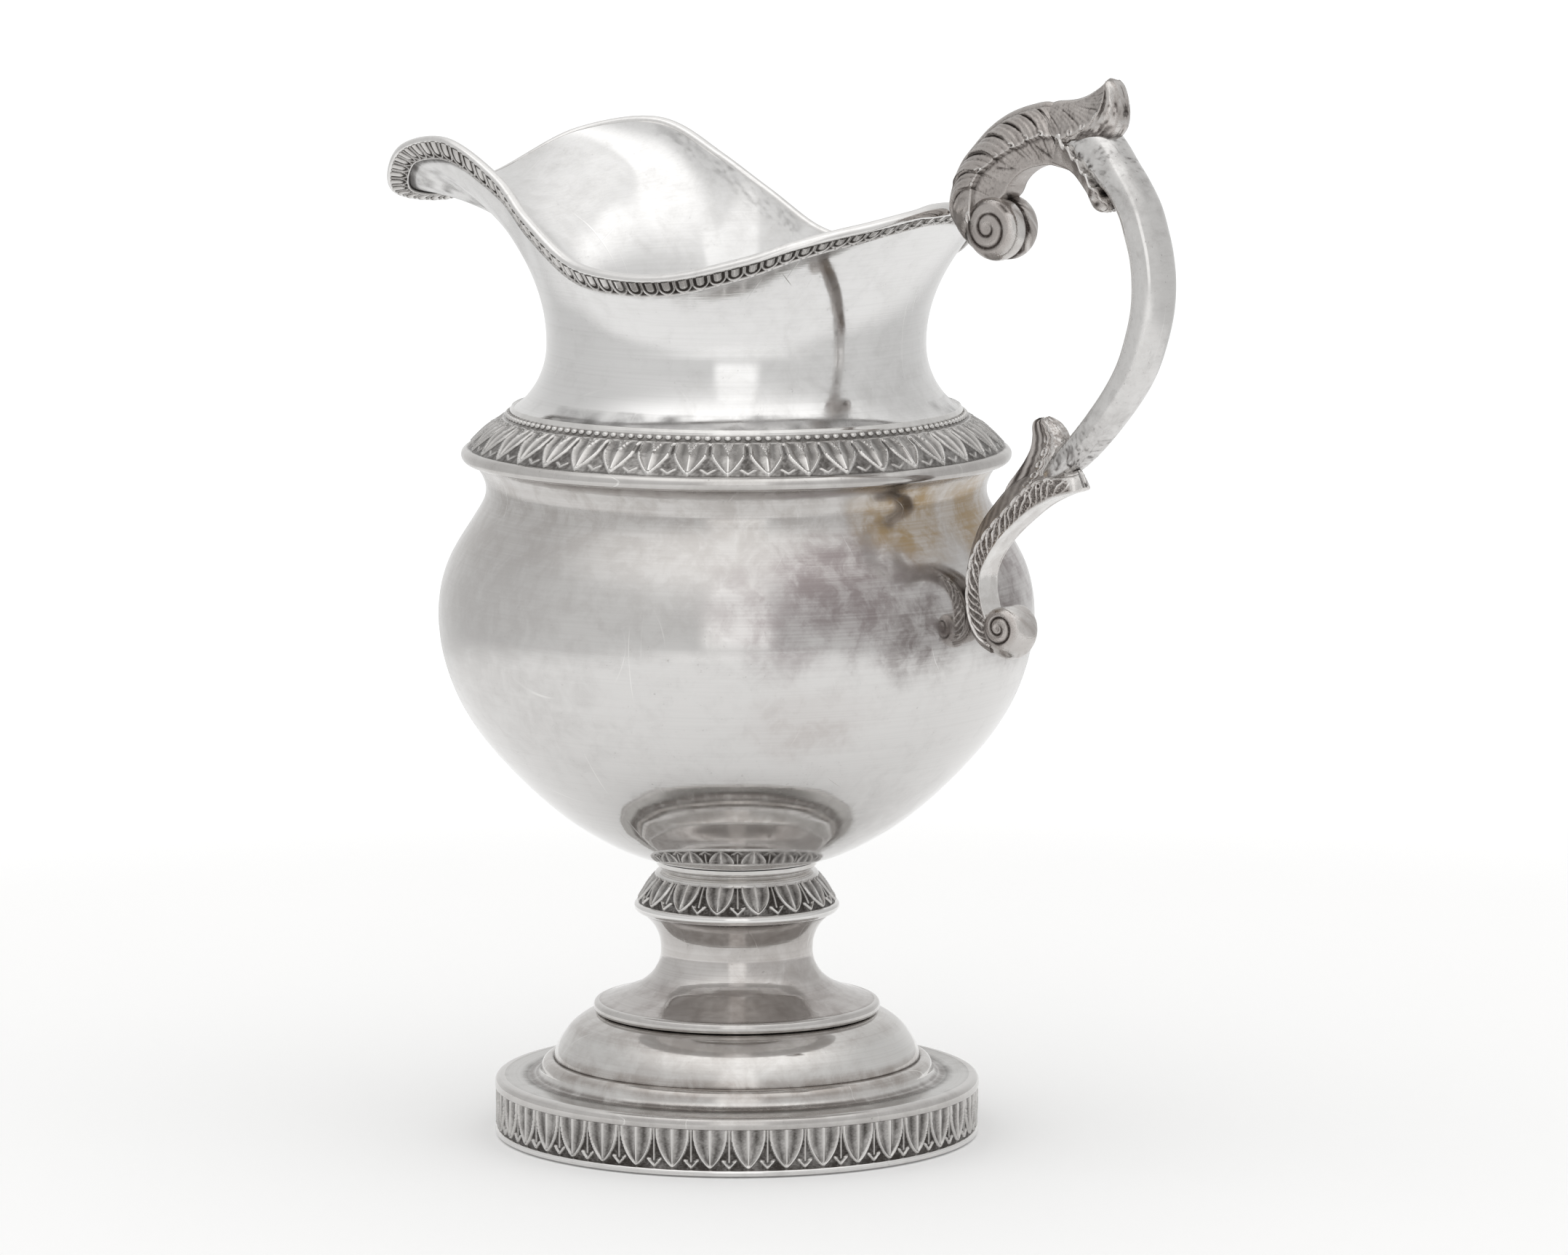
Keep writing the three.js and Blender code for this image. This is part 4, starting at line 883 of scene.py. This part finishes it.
def upper_shape(c, u):
    at = np.interp(u, u + slant(u), u)
    lobe, f = lobe_of(leaf_phase(at))
    small, _f = lobe_of(3 * leaf_phase(at))
    way = c[:, 2] - c[:, 1]
    way /= np.linalg.norm(way, axis=1)[:, None]
    move = (0.55 * (lobe - 0.72) + 0.26 * (small - 0.7))[:, None] * way * smoothstep(0.08, 0.2, u)[:, None]
    c[:, 2] += move
    c[:, 3] += move
    return c


pts, seg, f, u, s = loft(ctrl, (4, 40, 4, 24, 6), (0, [0.9, 0.9, 0.95, 1.0, 1.0, 1.0, 0.95, 0.9, 0.8, 0.65, 0.5, 0.35], 0, -0.25, 0.05), 1600, upper_shape)
# rows of the mesh lie close together at the veins and run slantwise along them
dense = np.linspace(0, 1, 4001)
gap = np.minimum(leaf_phase(dense) % 1.0, 1 - leaf_phase(dense) % 1.0)
base = np.interp(np.linspace(0, 1, 380), np.cumsum(1 + 2.0 * ridge(gap, 0.10)) / np.sum(1 + 2.0 * ridge(gap, 0.10)), dense)
base[0], base[-1] = 0, 1
lead = np.where(seg == 1, 1 - (1 - f) ** 2, np.where(seg == 2, 1.0, np.where(seg == 3, 1 - f, 0.0)))
want = base[:, None] + slant(base)[:, None] * lead
pts = np.stack([np.stack([np.interp(want[:, j], u[:, 0], pts[:, j, k]) for k in range(3)], -1) for j in range(want.shape[1])], 1)
u, s = want, want * s[-1, 0]
ph = leaf_phase(base)[:, None]
lobe, lf = lobe_of(ph)
leaf, under = seg == 1, seg == 3
on = smoothstep(0.05, 0.15, u)
long = s[-1, 0] / LOBES
edge = (1 - f) * 8.6
taper = smoothstep(0.04, 0.14, f) * (1 - smoothstep(0.45, 0.82, f))
vein = ridge(np.minimum(lf, 1 - lf) * long, 0.06 + 0.06 * taper) * taper
flutes = 0.5 + 0.5 * np.cos(2 * np.pi * 3 * ph)
swell = smoothstep(0.0, 0.17, lf) * (1 - 0.85 * smoothstep(0.2, 1.0, lf))
body = smoothstep(0.03, 0.2, f)
grain = value_noise(s * 3.6 + 0 * f, f * 26 + 0 * s, 21)
curl = np.hypot((lf - 0.16) * long, edge - 0.6)
size = np.array([0.2, 1.0, 0.35, 0.8, 0.3, 1.0, 0.5, 0.9, 1.0, 0.6])[np.clip(np.floor(ph).astype(int), 0, 9)]
hook = on * (1 - smoothstep(0.93, 0.99, u)) * size
h = on * body * (0.42 * swell * (1 - 0.35 * smoothstep(0.75, 1.0, f)) - 0.20 * vein - 0.10 * flutes) + 0.04 * np.clip(grain, -1, 0.3)
h = h + 0.20 * ridge(edge, 0.34) * on + hook * (0.26 * ridge(curl - 0.48, 0.17) - 0.3 * ridge(curl, 0.29))
h = np.where(leaf, h, np.where(seg == 0, 0.14, 0))
cav = 0.24 + 0.5 * vein + 0.34 * flutes * body - 0.36 * swell * body + 0.3 * np.clip(-grain, 0, 1) + 0.4 * ridge(f * 8.6 - 0.4, 0.2)
cav = cav * (1 - ridge(edge, 0.46)) - 0.95 * ridge(edge, 0.34) * on + hook * (1.1 * ridge(curl, 0.3) - 1.1 * ridge(curl - 0.48, 0.18))
cav = np.where(leaf, cav, 0.15)
ub = (3.0 * (u - 0.13 * f ** 1.6) + 0.1) % 1.0
crescent = ridge((ub - 0.5) * s[-1, 0] / 3.0, 0.30) * smoothstep(0.1, 0.3, f) * (1 - smoothstep(0.6, 0.9, f))
h = h + np.where(under, 0.16 * np.sin(np.pi * ub) * np.sin(np.pi * np.clip(f, 0, 1)) - 0.24 * crescent + 0.04 * np.clip(grain, -1, 0.3), 0)
# painted shade under the leaf's margin: on the step below it and along the edge of the under layer next to it
cav = np.where(seg == 2, 0.5, cav)
cav = np.where(under, 0.26 + 0.55 * crescent + 0.3 * np.clip(-grain, 0, 1) + 0.4 * (1 - smoothstep(0.0, 0.16, f)) - 0.7 * smoothstep(0.86, 1.0, f), cav)
cav = np.where(seg == 4, 0.25, cav)
cav = np.where(seg == 0, -0.1, cav)
upper = Shell()
upper.tube(displaced(pts, h), np.broadcast_to(cav, pts.shape[:2]))
volute(upper, (57.2, 162.7), (57.2, 163.0), 5.5, 4.15, 3.95, 2.0, math.radians(150), True, rise=0.34)

# --- thumb piece. Stations: top x, z, margin x, z, half width, back x, z
THUMB = [
    (65.6, 183.7, 68.4, 180.0, 3.2, 69.8, 177.6), (68.6, 184.85, 71.6, 178.9, 4.2, 73.4, 177.4), (71.2, 185.15, 74.3, 179.5, 4.5, 77.2, 178.2),
    (73.2, 185.5, 76.5, 180.5, 4.45, 80.4, 179.2), (74.9, 186.1, 78.2, 181.8, 4.05, 82.1, 181.0), (76.4, 186.9, 79.2, 183.4, 3.5, 82.7, 183.2),
    (77.7, 187.75, 79.8, 185.0, 3.05, 82.6, 185.2), (78.6, 188.5, 80.0, 186.6, 2.8, 82.2, 186.9), (79.2, 189.0, 79.9, 187.9, 2.6, 81.6, 188.1),
    (79.6, 189.2, 79.95, 188.75, 2.0, 80.7, 188.9)]
ctrl = []
for bx, bz, mx, mz, w, cx, cz in THUMB:
    b, m, c = np.array([bx, bz]), np.array([mx, mz]), np.array([cx, cz])
    b1, m2, e = b + 0.08 * (m - b), m + 0.05 * (c - m), m + 0.70 * (c - m)
    ctrl.append([(b[0], 0, b[1]), (b1[0], -0.16 * w, b1[1]), (m[0], -w, m[1]), (m2[0], -(w - 0.06 * w), m2[1]), (e[0], -0.74 * w, e[1]), (c[0], 0, c[1])])


def thumb_shape(c, u):
    lobe, _f = lobe_of(6.0 * u + 0.1)
    way = c[:, 2] - c[:, 1]
    way /= np.linalg.norm(way, axis=1)[:, None]
    fade = smoothstep(0.1, 0.25, u) * (1 - smoothstep(0.86, 0.98, u))
    move = (0.36 * (lobe - 0.7) * fade)[:, None] * way
    c[:, 2] += move
    c[:, 3] += move
    return c


pts, seg, f, u, s = loft(ctrl, (3, 26, 3, 12, 8), (0, [0.8, 0.6, 0.4, 0.1, -0.2, -0.35, -0.35, -0.25, -0.1, 0.0], 0,
                                                   [0.2, 0.3, 0.4, 0.45, 0.45, 0.4, 0.35, 0.3, 0.2, 0.1], [0.2, 0.3, 0.5, 0.6, 0.6, 0.5, 0.4, 0.3, 0.2, 0.1]), 120, thumb_shape)
ph = 4.0 * (u - 0.34 * (1 - (1 - f) ** 2) + 0.34)
lf = ph % 1.0
leaf = seg == 1
fade = 1 - smoothstep(0.82, 0.97, u)
edge = (1 - f) * 6.4
taper = smoothstep(0.08, 0.3, f) * (1 - smoothstep(0.55, 0.85, f)) * fade
vein = ridge(np.minimum(lf, 1 - lf) * s[-1, 0] / 4.0, 0.15) * taper
flutes = 0.5 + 0.5 * np.cos(2 * np.pi * 4 * ph)
_lobe, tf = lobe_of(6.0 * u + 0.1)
curl = np.hypot((tf - 0.3) * s[-1, 0] / 6.0, edge - 0.55)
hook = smoothstep(0.22, 0.3, u) * (1 - smoothstep(0.86, 0.93, u))
grain = value_noise(s * 3.4 + 0 * f, f * 15 + 0 * s, 22)
h = fade * (-0.16 * vein - 0.04 * flutes) * smoothstep(0.05, 0.2, f) + 0.18 * ridge(edge, 0.3) * fade * smoothstep(0.1, 0.25, u)
h = h + hook * (0.2 * ridge(curl - 0.42, 0.18) - 0.26 * ridge(curl, 0.26))
h = np.where(leaf, h, 0)
cav = 0.24 + 0.35 * vein + 0.2 * flutes + 0.3 * np.clip(-grain, 0, 1)
cav = cav * (1 - ridge(edge, 0.5)) - 0.95 * ridge(edge, 0.32) + hook * (0.8 * ridge(curl, 0.28) - 0.95 * ridge(curl - 0.42, 0.19))
cav = np.where(leaf, cav, -0.1)
cav = np.where(seg == 2, 0.1, cav)
blot = value_noise(s * 0.45 + 0 * f, f * 2.6 + seg * 2.6 + 0 * s, 23) + 0.6 * value_noise(s * 1.7 + 0 * f, f * 9 + seg * 9.0 + 0 * s, 24)
cav = np.where(seg >= 3, -0.5 + 1.2 * smoothstep(-0.5, 0.4, blot) + 0.25 * np.clip(grain, 0, 1) + 1.1 * (1 - smoothstep(0.2, 0.40, u)), cav)
upper.tube(displaced(pts, h), np.broadcast_to(cav, pts.shape[:2]))

# --- hanging leaf beside the grip, ending in a bud. Stations: margin x, z, hole edge x, z, half widths
HANG = [
    (71.4, 179.6, 69.4, 174.6, 4.1, 2.6), (72.8, 178.3, 71.0, 174.2, 4.25, 2.6), (74.1, 177.1, 72.7, 173.6, 4.35, 2.6),
    (75.4, 175.7, 74.0, 172.8, 4.35, 2.6), (76.5, 174.2, 75.0, 171.8, 4.25, 2.6), (77.4, 172.8, 75.8, 170.7, 4.0, 2.4),
    (78.3, 171.3, 76.5, 169.6, 3.7, 2.2), (79.2, 170.1, 77.1, 168.4, 3.3, 2.2), (80.2, 168.9, 77.9, 167.3, 3.0, 2.1),
    (80.9, 167.9, 78.9, 166.7, 2.4, 1.7), (80.9, 167.2, 79.8, 166.6, 1.3, 1.0)]
ctrl = []
for ox, oz, nx, nz, w, wn in HANG:
    o, n = np.array([ox, oz]), np.array([nx, nz])
    o0, o2, o3 = o + 0.35 * (o - n), o + 0.16 * (n - o), o + 0.22 * (n - o)
    ctrl.append([(o0[0], 0, o0[1]), (o[0], -w, o[1]), (o2[0], -(w + 0.06), o2[1]), (o3[0], -(w - 0.42), o3[1]), (n[0], -wn, n[1]), (n[0], 0, n[1])])


def hang_shape(c, u):
    lobe = 0.7 + 0.6 * np.sin(2 * np.pi * 5.6 * u)
    way = c[:, 1] - c[:, 4]
    way /= np.linalg.norm(way, axis=1)[:, None]
    fade = 1 - smoothstep(0.68, 0.76, u)
    move = (0.85 * (lobe - 0.7) * fade)[:, None] * way
    for k in (1, 2, 3):
        c[:, k] += move
        c[:, k, 1] -= 0.12 * (lobe - 0.7) * fade
    return c


pts, seg, f, u, s = loft(ctrl, (6, 4, 3, 14, 8), (0.0, 0.05, 0, [-0.1] * 7 + [0.25, 0.3, 0.2, 0.1], 0.1), 120, hang_shape)
bud = smoothstep(0.7, 0.78, u)
h = bud * 0.17 * np.sin(2.5 * s + 1.3 * seg) * np.sin(np.pi * np.clip(f, 0, 1))
cav = np.where(seg <= 2, -0.9, 0.35) * (1 - bud) + bud * (0.15 - 4.5 * h)
upper.tube(displaced(pts, h), np.broadcast_to(cav, pts.shape[:2]))
upper.make("handle_upper_scroll", M_CAST, "cast_silver", ["handle_upper_scroll"], sharp=None)

# --- lower scroll. Stations: back x, z, scalloped line x, z, arris x, z, inner face x, z
LOWER_ARCH = [
    (56.6, 90.0, 57.0, 91.0, 58.6, 93.4, 58.8, 93.8), (54.0, 91.3, 54.6, 92.2, 57.0, 94.4, 57.2, 94.8), (52.2, 93.6, 52.9, 94.4, 56.0, 96.3, 56.1, 96.8),
    (51.5, 96.6, 52.1, 97.0, 55.4, 98.0, 55.3, 98.4), (51.2, 100.0, 51.9, 100.3, 54.9, 100.8, 54.7, 101.0), (51.4, 104.0, 52.3, 104.2, 55.2, 103.9, 54.9, 103.9),
    (52.4, 108.0, 53.7, 107.9, 56.7, 106.8, 56.3, 106.7), (54.2, 112.0, 56.3, 111.4, 59.0, 109.9, 58.6, 109.8), (57.2, 115.8, 59.8, 114.9, 62.4, 113.1, 62.0, 113.0),
    (60.6, 119.2, 63.2, 118.2, 65.8, 115.6, 65.5, 115.6), (64.4, 121.2, 66.3, 120.3, 69.0, 117.3, 68.7, 117.2), (68.0, 122.1, 69.2, 121.2, 72.0, 118.5, 71.8, 118.3),
    (71.2, 122.2, 71.9, 121.4, 73.7, 118.95, 73.6, 118.75), (72.8, 122.4, 73.3, 121.6, 74.5, 119.4, 74.4, 119.15),
    (73.6, 122.5, 73.9, 121.9, 74.7, 119.9, 74.6, 119.6)]
ctrl = []
for n, (lx, lz, ex_, ez_, ax, az_, ix, iz) in enumerate(LOWER_ARCH):
    l, e, a, i = np.array([lx, lz]), np.array([ex_, ez_]), np.array([ax, az_]), np.array([ix, iz])
    k = (0.97, 0.84, 0.6, 0.25)[n - 11] if n > 10 else 0.86 if 1 <= n <= 6 else 1.0 if n > 7 else 0.93
    for q in (e, a, i):
        q[0] -= 2.4 * (1 - k) * (n < 9)
    l1, e2, e3, a2 = l + 0.08 * (e - l), e + 0.05 * (a - e), e + 0.13 * (a - e), a + 0.5 * (i - a)
    ctrl.append([(l[0], 0, l[1]), (l1[0], -2.3 * k, l1[1]), (e[0], -2.75 * k, e[1]), (e2[0], -3.22 * k, e2[1]), (e3[0], -2.95 * k, e3[1]),
                 (a[0], -3.12 * k, a[1]), (a2[0], -2.75 * k, a2[1]), (i[0], 0, i[1])])
SCALLOPS = 15.0


def lower_shape(c, u):
    lobe, _f = lobe_of(SCALLOPS * u)
    way = c[:, 2] - c[:, 5]
    way /= np.linalg.norm(way, axis=1)[:, None]
    move = (0.42 * (lobe - 0.7) * smoothstep(0.12, 0.3, u) * (1 - smoothstep(0.9, 0.95, u)))[:, None] * way
    for k in (2, 3, 4):
        c[:, k] += move
    return c


pts, seg, f, u, s = loft(ctrl, (5, 10, 4, 4, 36, 4, 9), (0.1, 0.05, 0, 0, 0.08, 0.05, 0.1), 430, lower_shape)
ribs = 25.0 * (u + 0.105 * f + 0.006 * np.sin(2 * np.pi * f)) + 0.3 * np.sin(31.0 * u)
which = np.floor(ribs + 0.5)
rf = (ribs + 0.13 * value_noise(which * 7.3, f * 3.0 + 0 * u, 61)) % 1.0
step = s[-1, 0] / 25.0
tail = 1 - smoothstep(0.945, 0.975, u)
rib = ridge(np.minimum(rf, 1 - rf) * step * 0.72, 0.135) * (0.85 + 0.3 * value_noise(which * 3.1 + 5, f * 5.0 + 0 * u, 62))
grain = value_noise(s * 4.6 + 0 * f, f * 22 + 0 * s, 33)
fleck = np.clip(2.2 * grain - 0.5, 0, 1)
face = seg == 4
env = smoothstep(0.0, 0.05, f) * (1 - smoothstep(0.86, 0.97, f)) * tail
near = smoothstep(0.42, 0.8, f)
h = np.where(face, env * (0.27 * rib * (1 - 0.55 * near) - 0.13 + 0.05 * (2 * rf - 1) ** 2 + 0.13 * fleck * (0.35 + 0.65 * near) * (1 - rib)), 0)
cav = env * (0.66 - 1.9 * rib * (1 - 0.4 * near) - 0.85 * fleck * (0.3 + 0.7 * near) + 0.2 * np.clip(-grain, 0, 1)) - 0.75 * (1 - env)
hollow = np.hypot(((SCALLOPS * u + 0.1) % 1.0 - 0.45) * s[-1, 0] / SCALLOPS, f * 3.9 - 0.6)
some = smoothstep(0.28, 0.4, u) * tail * (0.45 + 0.55 * smoothstep(0.6, 0.8, u)) * face
h = h + some * (0.20 * ridge(hollow - 0.46, 0.15) - 0.22 * ridge(hollow, 0.3))
cav = np.clip(cav, -1, 1) + some * (0.7 * ridge(hollow, 0.3) - 1.3 * ridge(hollow - 0.46, 0.15))
cav = np.where(face, cav, 0)
cav = np.where((seg == 1), 0.30 + 0.3 * np.abs(np.sin(np.pi * (SCALLOPS * u + 2 * f))), cav)
cav = np.where((seg == 2) | (seg == 3), -0.55, cav)
cav = np.where(seg == 0, 0.3, cav)
cav = np.where(seg >= 5, -0.9, cav)
cav = np.where(u > 0.965, -0.75, cav)
lower = Shell()
lower.tube(displaced(pts, h), np.broadcast_to(cav, pts.shape[:2]), cap=-0.7)
volute(lower, (59.3, 93.5), (59.2, 94.6), 4.6, 2.75, 3.2, 1.8, math.radians(170), False, rise=0.42)

# --- upward leaf tip beside the grip. Stations: front x, z, margin x, z, half width, back x, z
TIP = [
    (58.2, 115.6, 60.6, 115.3, 2.5, 62.0, 114.6), (60.0, 118.9, 64.0, 118.6, 2.85, 66.0, 117.6), (61.9, 121.4, 66.5, 121.2, 2.75, 69.2, 121.0),
    (63.6, 123.8, 67.7, 123.7, 2.65, 70.8, 124.3), (64.7, 126.0, 68.6, 126.0, 2.5, 71.2, 126.8), (65.0, 128.0, 68.5, 127.9, 2.3, 70.6, 128.6),
    (64.9, 129.6, 67.8, 129.5, 2.1, 69.3, 129.9), (65.1, 130.5, 66.9, 130.4, 1.7, 68.0, 130.6), (65.6, 130.95, 66.3, 130.9, 0.9, 66.9, 130.95)]
ctrl = []
for lx, lz, mx, mz, w, cx, cz in TIP:
    l, m, c = np.array([lx, lz]), np.array([mx, mz]), np.array([cx, cz])
    m2, e = m + 0.06 * (c - m), m + 0.70 * (c - m)
    ctrl.append([(l[0], 0, l[1]), (l[0] + 0.05, -0.84 * w, l[1]), (m[0], -w, m[1]), (m2[0], -0.9 * w, m2[1]), (e[0], -0.72 * w, e[1]), (c[0], 0, c[1])])


def tip_shape(c, u):
    lobe, _f = lobe_of(8.0 * u)
    way = c[:, 2] - c[:, 1]
    way /= np.linalg.norm(way, axis=1)[:, None]
    fade = smoothstep(0.05, 0.15, u) * (1 - smoothstep(0.80, 0.95, u))
    move = (0.7 * (lobe - 0.65) * fade)[:, None] * way
    c[:, 2] += move
    c[:, 3] += move
    return c


pts, seg, f, u, s = loft(ctrl, (5, 26, 3, 9, 9), (0.15, -0.35, 0, 0.3, 0.35), 130, tip_shape)
face = seg == 1
lobe, lf = lobe_of(8.0 * u)
length = s[-1, 0] / 8.0
edge = (1 - f) * 4.4
well = np.hypot((lf - 0.5) * length, edge - 0.78)
fade = smoothstep(0.12, 0.22, u) * (1 - smoothstep(0.76, 0.86, u))
veins = 0.5 + 0.5 * np.cos(2 * np.pi * (3.0 * f + 1.6 * u))
inner = 1 - smoothstep(0.5, 0.68, f)
h = fade * (0.30 * ridge(well - 0.68, 0.17) - 0.28 * ridge(well, 0.42)) - 0.14 * veins * inner + 0.2 * ridge(edge, 0.26)
h = np.where(face, h, 0)
cav = 0.34 + 0.5 * veins * inner - 0.5 * (1 - veins) ** 2 * inner + fade * (0.9 * ridge(well, 0.44) - 1.8 * ridge(well - 0.68, 0.17)) - 1.5 * ridge(edge, 0.26)
cav = np.where(face, cav, 0)
cav = np.where(seg == 0, 0.2, cav)
spots = value_noise(s * 3.2 + 0 * f, f * 7 + seg * 7.0 + 0 * s, 51)
cav = np.where(seg >= 3, -0.6 + 1.1 * smoothstep(0.0, 0.6, spots) * smoothstep(0.45, 0.75, u) + 1.2 * (1 - smoothstep(0.3, 0.5, u)), cav)
lower.tube(displaced(pts, h), np.broadcast_to(cav, pts.shape[:2]))
lower.make("handle_lower_scroll", M_CAST, "cast_silver", ["handle_lower_scroll"], sharp=None)


# ---------------------------------------------------------------- floor, light and camera
def floor_material():
    mat = bpy.data.materials.new("studio_floor")
    mat.use_nodes = True
    t = mat.node_tree
    bsdf = t.nodes["Principled BSDF"]
    bsdf.inputs["Roughness"].default_value = 0.9
    bsdf.inputs["Specular IOR Level"].default_value = 0.1
    pos = t.nodes.new("ShaderNodeTexCoord").outputs["Object"]
    t.links.new(mix_colour(t, noise(t, pos, 3.0, 2.0), rgba(0.935, 0.935, 0.935), rgba(0.95, 0.95, 0.95)), bsdf.inputs["Base Color"])
    far = node(t, "ShaderNodeVectorMath", {"operation": "LENGTH"}, i0=pos).outputs["Value"]
    t.links.new(ramp_range(t, far, 0.54, 0.28), bsdf.inputs["Alpha"])
    bsdf.inputs["Emission Color"].default_value = (1, 1, 1, 1)
    bsdf.inputs["Emission Strength"].default_value = 0.05
    return mat


floor_mesh = bpy.data.meshes.new("floor")
ring_of = [(0.64 * math.cos(a), 0.64 * math.sin(a), -0.0002) for a in np.linspace(0, 2 * math.pi, 128, endpoint=False)]
floor_mesh.from_pydata(ring_of, [], [tuple(range(128))])
floor_mesh.materials.append(floor_material())
floor = bpy.data.objects.new("floor", floor_mesh)
scene.collection.objects.link(floor)

AZ, PITCH = math.radians(37.5), math.radians(7.81)
FOCAL, AXIS_PX = 11760.0, 1012.8
right = Vector((math.cos(AZ), math.sin(AZ), 0))
back = Vector((math.sin(AZ), -math.cos(AZ), 0))
shift = (AXIS_PX - 2156 / 2) / FOCAL * 1.484 / math.cos(PITCH)
forward = Vector((-math.sin(AZ) * math.cos(PITCH), math.cos(AZ) * math.cos(PITCH), -math.sin(PITCH)))
up = right.cross(forward)
cam_data = bpy.data.cameras.new("camera")
cam_data.sensor_fit, cam_data.sensor_width = "HORIZONTAL", 36.0
cam_data.lens = 36.0 * FOCAL / 2156
cam_data.clip_start, cam_data.clip_end = 0.05, 100
camera = bpy.data.objects.new("camera", cam_data)
place = back * 1.484 - right * shift + Vector((AXIS_X, 0, 0.293))
camera.matrix_world = Matrix.Translation(place) @ Matrix((right, up, -forward)).transposed().to_4x4()
scene.collection.objects.link(camera)
scene.camera = camera
scene.view_settings.view_transform = "Standard"
scene.view_settings.look = "None"
scene.view_settings.exposure = 0.12

# soft studio: a white room with a tall soft light in front and greyer walls beside it
world = bpy.data.worlds.new("studio")
world.use_nodes = True
scene.world = world
t = world.node_tree
t.nodes.clear()
direction = t.nodes.new("ShaderNodeTexCoord").outputs["Generated"]
dot = lambda v: node(t, "ShaderNodeVectorMath", {"operation": "DOT_PRODUCT"}, i0=direction, i1=tuple(v)).outputs["Value"]
azim = math_node(t, "ARCTAN2", dot(right), dot(back))
elev = math_node(t, "ARCSINE", dot((0, 0, 1)))
D = math.radians


def window(value, a, b, soft):
    return math_node(t, "MULTIPLY", ramp_range(t, value, D(a - soft), D(a + soft)), ramp_range(t, value, D(b + soft), D(b - soft)))


side = math_node(t, "ABSOLUTE", azim)
below = ramp_range(t, elev, D(-3), D(-13))
high = ramp_range(t, elev, D(8), D(38))
walls = math_node(t, "ADD", ramp_range(t, side, D(60), D(115), 0.70, 0.64), ramp_range(t, side, D(130), D(172), 0.0, 0.12))
walls = math_node(t, "ADD", walls, math_node(t, "MULTIPLY", math_node(t, "MULTIPLY", below, ramp_range(t, side, D(0), D(70), 1.0, 0.0)), 0.30))
walls = math_node(t, "ADD", walls, math_node(t, "MULTIPLY", math_node(t, "MULTIPLY", high, ramp_range(t, side, D(0), D(85), 1.0, 0.0)), 0.15))
sky = math_node(t, "MULTIPLY", ramp_range(t, elev, D(30), D(70)), ramp_range(t, side, D(75), D(120), 1.0, 0.55))
level = math_node(t, "ADD", math_node(t, "MULTIPLY", walls, math_node(t, "SUBTRACT", 1.0, sky)), math_node(t, "MULTIPLY", sky, 1.28))
box = math_node(t, "MULTIPLY", window(azim, -12.5, 14, 3.5), window(elev, -4, 50, 7))
level = math_node(t, "ADD", level, math_node(t, "MULTIPLY", box, math_node(t, "MULTIPLY_ADD", high, -0.22, 0.44)))
lit = node(t, "ShaderNodeBackground", None, Strength=level)
lit.inputs["Color"].default_value = rgba(1.0, 0.998, 0.992)
plain = node(t, "ShaderNodeBackground", None, Strength=1.05)
plain.inputs["Color"].default_value = rgba(1, 1, 1)
path = t.nodes.new("ShaderNodeLightPath")
mix = t.nodes.new("ShaderNodeMixShader")
t.links.new(path.outputs["Is Camera Ray"], mix.inputs[0])
t.links.new(lit.outputs[0], mix.inputs[1])
t.links.new(plain.outputs[0], mix.inputs[2])
end = t.nodes.new("ShaderNodeOutputWorld")
t.links.new(mix.outputs[0], end.inputs["Surface"])

bpy.context.view_layer.update()
